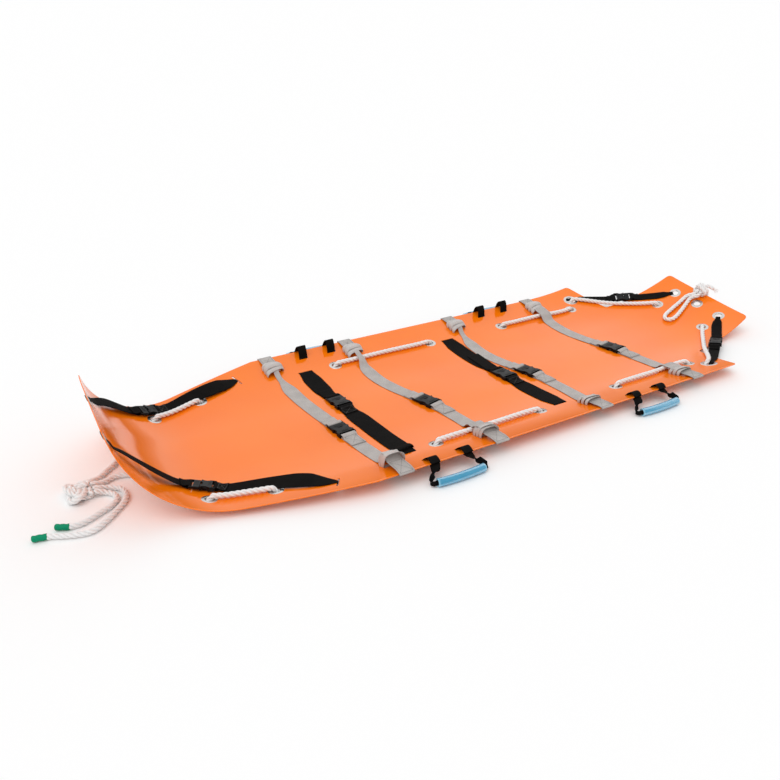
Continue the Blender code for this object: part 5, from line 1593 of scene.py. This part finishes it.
KNUCKLE_TURNS = {
    "loose": (0.0300, [(-2 * MM, 38 * MM, 44 * MM, 10)]),
    "open": (0.0300, [(-12 * MM, 16 * MM, 33 * MM, 16), (0.0, 16 * MM, 37 * MM, 10),
                      (12 * MM, 16 * MM, 34 * MM, 4)]),
    "tight": (0.0315, [(-10 * MM, 14 * MM, 22 * MM, 20), (1 * MM, 14 * MM, 25 * MM, 8),
                       (11 * MM, 14 * MM, 22 * MM, -6)]),
    "bulky": (0.0325, [(-14 * MM, 19 * MM, 19 * MM, 16), (0.0, 21 * MM, 25 * MM, 6),
                       (14 * MM, 19 * MM, 21 * MM, -4)])}
NEAR_KNUCKLES = {1: "loose", 2: "open", 3: "tight", 4: "tight"}
KNUCKLE_ARCH = [(-0.81, 0, -3 * MM, 0.50), (-0.97, 0, 2.5 * MM, 0.66), (-1.0, 0.50, 0, 0.88),
                (-0.80, 0.88, 0, 1.0), (-0.30, 1, 0, 1.0), (0.30, 1, 0, 1.0), (0.80, 0.84, 0, 1.0),
                (1.0, 0.46, 0, 0.88), (0.95, 0, 2.5 * MM, 0.66), (0.81, 0, -3 * MM, 0.50)]
KNUCKLE_THICK = 1.6 * MM
KNUCKLE_STEP = 3 * MM
TAB_PROUD = 3 * MM
PINCHED_BY = 30 * MM
KNUCKLE_BEFORE_TAB = 75 * MM


def knuckle_style(number, side):
    """Half span of a cross strap's knuckle, and its turns: (shift, width, height, skew in degrees)."""
    return KNUCKLE_TURNS["bulky" if side > 0 else NEAR_KNUCKLES[number]]


def knuckle(number, side, word):
    """The loop of webbing that the cross strap runs through at its slot: an arch over the strap, one
    wide band where it is loose, three pleats where it is drawn tighter.

    KNUCKLE_ARCH gives each point as a share of the half span, its height as a share of the turn's
    plus a fixed part, and a share of the width. Points higher than 8 mm hang out towards the edge."""
    slot_v = CROSS_SLOT_V
    u = float(cross_u(number, side * slot_v))
    half_span, turns = knuckle_style(number, side)
    meshes = []
    for k, (shift, wide, high, skew) in enumerate(turns):
        lean = radians(skew) * side
        stations = []
        for part, rise, fixed, share in KNUCKLE_ARCH:
            e, h = part * half_span, high * rise + fixed
            hang = 0.35 * max(h - 8 * MM, 0)
            w = slot_v + shift + e * np.tan(lean) * side + hang
            spot = sheet_at(u + e, side * w, h)
            _, across, out = sheet_axes(u + e, side * w)
            stations.append((spot, unit(across * side + out * 0.12), wide / 2 * share))
        camber = 0.05 if len(turns) == 1 else 0.30
        meshes.append(Webbing(stations, KNUCKLE_STEP, KNUCKLE_THICK).mesh(f"turn_{k}", camber=camber))
    folds = joined(meshes, "knuckle")
    # The knuckles wear the lighter copy of the gray webbing, which is painted light.
    return piece(f"cross_knuckle_{number}_{word}", folds, GRAY_WEB_LIT)


def cross_width(number, side, w, _):
    """Width of a cross strap: drawn together over its last stretch before a far knuckle."""
    if number == 4 or side < 0:
        return CROSS_WEB
    tight = ease((w - 0.235) / 0.08) * (1 - ease((w - CROSS_SLOT_V + 0.012) / 0.02))
    return CROSS_WEB - PINCHED_BY * float(tight)


def make_cross_straps():
    """The four gray straps with their buckles, sewing and knuckles."""
    for number, (_, _, _, buckle_v) in CROSS_STRAPS.items():
        buckle, halves = crossing(partial(cross_u, number), buckle_v, {True: PLUG_TAIL, False: SEWN_TAIL},
                                  partial(choker, number), partial(cross_width, number))
        make_buckle(f"cross_buckle_{number}", CROSS_WEB, buckle)
        for side, word in SIDES:
            name = f"cross_strap_{number}_{word}"
            web, strap = strap_piece(name, halves[word], GRAY_WEB,
                                     None if side > 0 else ROOT, 0.35 * MM, number)
            half = CROSS_WEB / 2 - SEAM_IN
            tab = tab_span(web, number, side)
            box_stitch(f"{name}_tab_sewing", web, *tab, half, ON_TOP, GRAY_THREAD)
            if side > 0:
                start = tab[0] - KNUCKLE_BEFORE_TAB
                follow_plug(strap, web, start, 2 * PLUG_TAIL + TURN_LONG)
            else:
                box_stitch(f"{name}_buckle_sewing", web, SEAM_START, SEWN_TAIL - 12 * MM, half, -ON_TOP,
                           GRAY_THREAD)
            knuckle(number, side, word)


def tab_span(web, number, side):
    """Distances along a cross strap between which its flat tab lies, from knuckle to edge."""
    u = float(cross_u(number, side * CROSS_SLOT_V))
    ends = (CROSS_SLOT_V + 19 * MM, float(half_width(u)) - 1 * MM)
    out = side * web.mid[:, 1]
    return [web.reach[np.argmax(out > side * sheet_at(u, side * w)[1])] for w in ends]


TAIL_SWING = 13 * MM
KEEPER_V = -0.301
KEEPER_HALF_SPAN = 31 * MM
KEEPER_HALF_WIDE = 11 * MM
KEEPER_ARCH = [(-0.9, WEB_H, 0.7), (-1.0, 4 * MM, 0.9), (-0.86, 9 * MM, 1.0), (-0.4, 12 * MM, 1.0),
               (0.2, 13 * MM, 1.0), (0.75, 12 * MM, 1.0), (1.0, 6 * MM, 0.9), (0.9, WEB_H, 0.7)]


def fanned(stations, tail):
    """A strap whose loose tail is swung sideways off it by TAIL_SWING at its end, and ever less on its
    way in."""
    far = np.clip(1 - lengths(np.array([spot for spot, _, _ in stations])) / tail, 0, 1)
    swung = np.array((TAIL_SWING, 0, 0))
    return [(spot + swung * float(ease(f)), side, half) for (spot, side, half), f in zip(stations, far)]


def keeper():
    """The rolled sleeve at the near end of the first body strap: a low arch of webbing over it."""
    stations = []
    for part, h, share in KEEPER_ARCH:
        v = KEEPER_V + 0.12 * part * KEEPER_HALF_SPAN
        u = float(body_u(1, v)) + part * KEEPER_HALF_SPAN
        stations.append((sheet_at(u, v, h), sheet_axes(u, v)[1], KEEPER_HALF_WIDE * share))
    web = Webbing(stations, KNUCKLE_STEP, KNUCKLE_THICK)
    piece("body_keeper", web.mesh("body_keeper", camber=0.15), BLACK_WEB)


def body_hitch(slot_v, _):
    """(across, height) points of a body strap's end: down through its slot and back as a stub."""
    lip = slot_v - SLOT_WIDE / 2
    return [(lip - 6 * MM, WEB_H)] + round_lip(lip, 0, pi, 8) + [(lip - STUB, -WEB_H)]


def body_width(slot_v, _, w, bar):
    """Width of a body strap: BODY_WEB between its strap bar and its slot, narrower at both."""
    fat = min(max(w - bar - 20 * MM, 0) / 0.06, max(slot_v - w - 8 * MM, 0) / 0.05, 1)
    return CROSS_WEB + (BODY_WEB - CROSS_WEB) * float(ease(fat))


def make_body_straps():
    """The two black straps with their buckles and sewing; the second one's loose tail is swung aside."""
    for number, (_, _, _, buckle_v, slot_v, tail) in BODY_STRAPS.items():
        buckle, halves = crossing(partial(body_u, number), buckle_v, {True: tail, False: PLUG_TAIL},
                                  partial(body_hitch, slot_v), partial(body_width, slot_v))
        make_buckle(f"body_buckle_{number}", CROSS_WEB, buckle)
        if number == 2:
            halves["left"] = fanned(halves["left"], tail)
        for side, word in SIDES:
            name = f"body_strap_{number}_{word}"
            web, strap = strap_piece(name, halves[word], BLACK_WEB,
                                     None if side > 0 else ROOT, 0.3 * MM, number + 5)
            if side > 0:
                start = web.reach[-1] - STUB - 12 * MM
                follow_plug(strap, web, start, 2 * tail + TURN_LONG)
            else:
                box_stitch(f"{name}_buckle_sewing", web, SEAM_START, 36 * MM, CROSS_WEB / 2 - SEAM_IN,
                           -ON_TOP, BLACK_THREAD)


make_cross_straps()
make_body_straps()
keeper()


# Straps at the foot and the head ends

FOOT_TAIL = 35 * MM
FOOT_UPPER_STUB = 28 * MM
HEAD_UPPER_STUB = 22 * MM
HEAD_LOWER_STUB = 26 * MM
HEAD_BUCKLE_SHARE = 0.52
HEAD_BUCKLE_LIFT = 3 * MM
HEAD_RUN = 0.3 * MM


def end_buckle(u, v, way, lift):
    """A buckle near an end of the sheet, pulled along a flat way and laid along the sheet's chord."""
    way = unit(way)
    rear, front = SOCKET_LONG[END_WEB], PLUG_LONG[END_WEB]
    low = sheet_at(u - way[0] * rear, v - way[1] * rear)
    high = sheet_at(u + way[0] * front, v + way[1] * front)
    up = sheet_axes(u, v)[2]
    mouth = low + (high - low) * rear / (rear + front) + up * lift
    return buckle_frame(mouth, high - low, up)


def past_eyelet(centre, way, stub):
    """(u, v, h) points of folded webbing through an eyelet: over the rim, down and outside."""
    centre, way = np.array(centre), unit(way)
    radius = sqrt((EYELET_BORE / 2 * cos(pi / 12)) ** 2 - (END_FOLD / 2) ** 2) - 0.2 * MM
    line = through_hole(radius, WEB_THICK / 2 + GAP, 1)
    line = [(line[0][0] - EYELET_RIM - 4 * MM, line[0][1])] + line[1:-1] + [(stub, line[-1][1])]
    return [(*(centre + way * s), h) for s, h in line]


def round_eyelet(centre, way, stub):
    """(u, v, h) points of folded webbing that leaves an eyelet open: over the rim, down close to the
    hole's near side and back under the sheet."""
    centre, way = np.array(centre), unit(way)
    clear = WEB_THICK / 2 + GAP
    rim = GAP - sqrt((EYELET_BORE / 2) ** 2 - (END_FOLD / 2) ** 2)
    line = [(rim - EYELET_RIM - 8 * MM, RIM_TOP + clear)]
    for corner, first in ((RIM_TOP, pi / 2), (-HALF_SHEET, 0)):
        line += [(rim + clear * cos(a), corner + clear * sin(a))
                 for a in np.linspace(first, first - pi / 2, 4)]
    line.append((rim - stub, -HALF_SHEET - clear))
    return [(*(centre + way * s), h) for s, h in line]


def make_foot_straps():
    """The foot end's straps: a wide lower one from its slot to the buckle, an upper one to an eyelet."""
    slot_u, slot_v = FOOT_SLOT
    for side, word in SIDES:
        u, v, pull = FOOT_BUCKLES[word]
        buckle = end_buckle(u, v, pull, RIM_TOP + 2 * BUCKLE_STANDOFF)
        make_buckle(f"foot_buckle_{word}", END_WEB, buckle)

        band = FOOT_BANDS[word]
        way = unit((slot_u - band[-1][0], side * slot_v - band[-1][1]))
        lip = np.array((slot_u, side * slot_v)) - way * SLOT_WIDE / 2
        flat = [(a, b, WEB_H + h) for a, b, h, _ in band]
        tilts = [radians(t) * side for _, _, _, t in band]
        ways = [None] * len(flat)
        for w, h in round_lip(0, 0, pi, 8) + [(-STUB, -WEB_H)]:
            flat.append((*(lip + way * w), h))
            ways.append(way)
            tilts.append(0)
        widths = FOOT_BAND_WIDTHS + [FOOT_BAND_END] * (len(flat) - len(FOOT_BAND_WIDTHS))
        stations = bar_turn(buckle, END_WEB, False, FOOT_TAIL, CURL_RUN, laid(flat, widths, ways, tilts))
        name = f"foot_strap_{word}_lower"
        web, _ = strap_piece(name, stations, BLACK_WEB, ROOT, 0.25 * MM, side)
        box_stitch(f"{name}_sewing", web, 3 * MM, 26 * MM, END_WEB / 2 - END_SEAM_IN, -ON_TOP, BLACK_THREAD)

        eyelet = np.array((FOOT_STRAP_EYELET[0], side * FOOT_STRAP_EYELET[1]))
        path = FOOT_UPPER[word]
        way = unit(eyelet - np.array(path[-1][:2]))
        hole = past_eyelet(eyelet, way, FOOT_UPPER_STUB)
        flat = [(a, b, WEB_H + h) for a, b, h in path] + hole
        ways = [None] * len(path) + [way] * len(hole)
        widths = [END_WEB] * (len(path) - 2) + [END_WEB * 0.8, (END_WEB + END_FOLD) / 2]
        widths += [END_FOLD] * len(hole)
        stations = bar_turn(buckle, END_WEB, True, END_TAIL, CURL_RUN, laid(flat, widths, ways))
        web, strap = strap_piece(f"foot_strap_{word}_upper", stations, BLACK_WEB, None)
        follow_plug(strap, web, web.reach[-1] - EYELET_RUN, 2 * END_TAIL + TURN_LONG)


def make_head_straps():
    """The head end's straps, between the large eyelet and one on the flap, with a buckle in between."""
    for side, word in SIDES:
        big, small = np.array(ROPE_EYELETS[BIG_EYELET]), np.array(HEAD_STRAP_EYELET)
        way = unit(small - big)
        square = np.array((-way[1], way[0]))
        big = big + square * BIG_EYELET_SPLIT
        mid = big + (small - big) * HEAD_BUCKLE_SHARE + square * END_BUCKLE_OUT
        buckle = end_buckle(mid[0], side * mid[1], (way[0], side * way[1]), RIM_TOP + HEAD_BUCKLE_LIFT)
        make_buckle(f"head_buckle_{word}", END_WEB, buckle)
        for plug, end, tag in ((True, small, "upper"), (False, big, "lower")):
            out = way if plug else -way
            if plug:
                hole = round_eyelet(end, out, HEAD_UPPER_STUB)
            else:
                hole = past_eyelet(end, out, HEAD_LOWER_STUB)
            start = np.array(hole[0][:2])
            flat = [(*(start - out * s), hole[0][2] + 1 * MM) for s in (0.045, 0.016)] + hole
            widths = [END_WEB, END_WEB * 0.86, END_FOLD + 5 * MM] + [END_FOLD] * (len(hole) - 1)
            flat = [(a, side * b, h) for a, b, h in flat]
            ways = [(out[0], side * out[1])] * len(flat)
            stations = bar_turn(buckle, END_WEB, plug, END_TAIL, HEAD_RUN, laid(flat, widths, ways))
            web, strap = strap_piece(f"head_strap_{word}_{tag}", stations, BLACK_WEB,
                                     None if plug else ROOT)
            if plug:
                follow_plug(strap, web, web.reach[-1] - EYELET_RUN,
                            2 * END_TAIL + TURN_LONG)


make_foot_straps()
make_head_straps()


# Carrying handles

def make_handles():
    """The four handles: a grip that swings, and webbing from round the sheet's edge through the grip."""
    for number, place in HANDLES.items():
        for side, word in SIDES:
            half = float(half_width(place))
            edge = sheet_at(place, side * half)
            mid = np.array((edge[0], edge[1] + side * GRIP_REACH, GRIP_D / 2 + SEAT))
            name = f"handle_{number}_{word}"
            piece(f"{name}_tube", grip_mesh(f"{name}_tube", mid, side), BLUE, body=f"{name}_grip_body",
                  nodes=[f"{name}_grip"], sharp=50)
            stations = handle_stations(place, side, half, mid)
            web = Webbing(stations, 3 * MM)
            strap = piece(f"{name}_strap", web.mesh(f"{name}_strap", wave=0.2 * MM), BLACK_WEB, body=None,
                          nodes=[f"{name}_webbing"])
            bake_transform(strap)


def grip_line(mid, side, t):
    """Points along a grip's bowed middle line, t from -1 to 1: it bends back as t squared."""
    t = np.asarray(t, float)
    return mid + np.stack([t * GRIP_LONG / 2, -side * GRIP_BOW * t * t, np.zeros_like(t)], -1)


def grip_mesh(name, mid, side):
    """The grip hose: its wall's profile of (place along, radius) runs out along the outside, round
    the cut end and back along the bore, turned about the bowed middle line."""
    outer, inner = GRIP_D / 2, GRIP_BORE / 2
    t = np.linspace(-1, 1, 41)[1:-1]
    cut = GRIP_END_ROUND / (GRIP_LONG / 2)
    along = np.concatenate([t, [1 - cut, 1, 1, 1 - cut], t[::-1], [cut - 1, -1, -1, cut - 1]])
    lip = [outer, outer - GRIP_END_ROUND, inner + GRIP_END_ROUND, inner]
    radius = np.concatenate([np.full(len(t), outer), lip, np.full(len(t), inner), lip[::-1]])
    line = grip_line(mid, side, along)
    run = unit(grip_line(mid, side, along + 1e-3) - grip_line(mid, side, along - 1e-3))
    up = np.array((0, 0, 1.0))
    out = np.cross(run, up)
    turn = round_angles(40)[None, :, None]
    grid = line[:, None] + radius[:, None, None] * (out[:, None] * np.cos(turn) + up * np.sin(turn))
    rows, cols = grid.shape[:2]
    i, j = (a.ravel() for a in np.mgrid[0:rows, 0:cols])
    spot = np.concatenate([lengths(line), [lengths(line)[-1] + 1e-3]])
    around = np.arange(cols + 1) / cols * pi * GRIP_D
    uv = np.stack([np.stack([around[a], spot[b]], -1)
                   for a, b in ((j, i), (j + 1, i), (j + 1, i + 1), (j, i + 1))], 1).reshape(-1, 2)
    # The end value is how far a row lies into the tube's paler ends, where its material paints light showing
    # through.
    end = np.repeat(ease((np.abs(along) - 0.93) / 0.07) * 0.8, cols)
    quads = np.stack(wrapped_cells(rows, cols), -1)
    return mesh_from(name, grid.reshape(-1, 3), [quads], [uv], {"end": end})


def handle_stations(place, side, half, mid):
    """One strip: round the sheet's edge at a slot, twisting into the grip, through it, and back as
    the mirror image of the first half."""
    line = grip_line(mid, side, (-1, -0.5, 0, 0.5, 1))
    first = line[0] - line[1]
    ring = round_lip(half, radians(100), radians(15), 5)
    arch = HANDLE_ARCH["left" if side > 0 else "right"]
    middle = (half + HANDLE_SLOT_V) / 2
    ring += [(middle + 15 * MM, WEB_H + 0.66 * arch), (middle + 5 * MM, WEB_H + arch),
             (middle - 9 * MM, WEB_H + 0.60 * arch)]
    ring += round_lip(HANDLE_SLOT_V + SLOT_WIDE / 2, 0, pi, 8, inward=True)
    ring.append((half - 6 * MM, -WEB_H))
    u = place - HANDLE_RING_SPREAD / 2
    along = np.array((1.0, 0, 0))
    wing = [(sheet_at(u, side * w, h), along, HANDLE_WEB / 2) for w, h in ring]
    up = unit((0, -side * 0.45, 0.9))
    lip = wing[-1][0]
    entry = line[0] + unit(first) * 0.012
    path, _ = smooth([lip, lip + (entry - lip) * 0.3 + np.array((0, side * 0.006, 0)),
                      entry - np.array((0.004, side * 0.010, 0)), entry, line[0]], 0.012)
    for i, point in enumerate(path[1:]):
        t = min((i + 1) / (len(path) - 3), 1)
        wing.append((point, unit(along + (up - along) * t), (HANDLE_WEB + (CORE_WEB - HANDLE_WEB) * t) / 2))
    wing += [(p, up, CORE_WEB / 2) for p in line[1:3]]
    stations = list(wing)
    for point, way, wide in wing[-2::-1]:
        stations.append((np.array((2 * mid[0] - point[0], point[1], point[2])),
                         np.array((-way[0], way[1], way[2])), wide))
    return stations


make_handles()


# Floor and light

FLOOR_HALF = 400
WORLD_LIGHT = 0.68
MIRRORED_HORIZON = 0.12
MIRRORED_SKY = 0.72
HORIZON_FADE = (0.03, 0.28)
STUDIO_LAMPS = (("key", (-1.6, -0.9, 3.0), 50, 0.98), ("fill", (1.8, 2.2, 3.0), 70, 0.35))


def make_stage():
    """A wide pale floor under soft even studio light: a pale world, and two broad lamps so far away
    that they light the near and the far floor alike. What glossy surfaces mirror is dimmer near the
    horizon than above it."""
    bm = bmesh.new()
    bmesh.ops.create_grid(bm, x_segments=1, y_segments=1, size=FLOOR_HALF)
    floor = placed("floor", bmesh_mesh("floor", bm))
    floor.location = (0, 0, -0.5 * MM)
    paint = Paint("floor", Base_Color=(0.97, 0.97, 0.97, 1), Roughness=0.9, Specular_IOR_Level=0.0)
    floor.data.materials.append(paint.material)

    world = bpy.data.worlds.new("studio")
    bpy.context.scene.world = world
    world.use_nodes = True
    sky = Nodes(world.node_tree)
    camera_ray, _, _, glossy_ray = sky.node("ShaderNodeLightPath")[:4]
    direction = sky.node("ShaderNodeTexCoord")[0]
    height = sky.node("ShaderNodeSeparateXYZ", values={0: direction})[2]
    mirrored = height.step(*HORIZON_FADE) * MIRRORED_SKY + MIRRORED_HORIZON - WORLD_LIGHT
    strength = camera_ray * (1 - WORLD_LIGHT) + glossy_ray * mirrored + WORLD_LIGHT
    back = world.node_tree.nodes["Background"]
    back.inputs["Color"].default_value = (1, 1, 1, 1)
    world.node_tree.links.new(strength.link, back.inputs["Strength"])
    for name, spot, spread_angle, power in STUDIO_LAMPS:
        light = bpy.data.lights.new(name, "SUN")
        light.angle, light.energy = radians(spread_angle), power
        lamp = placed(name, light)
        lamp.location = spot
        lamp.rotation_euler = (-Vector(spot)).to_track_quat("-Z", "Y").to_euler()
    bpy.context.scene.view_settings.view_transform = "Standard"


make_stage()
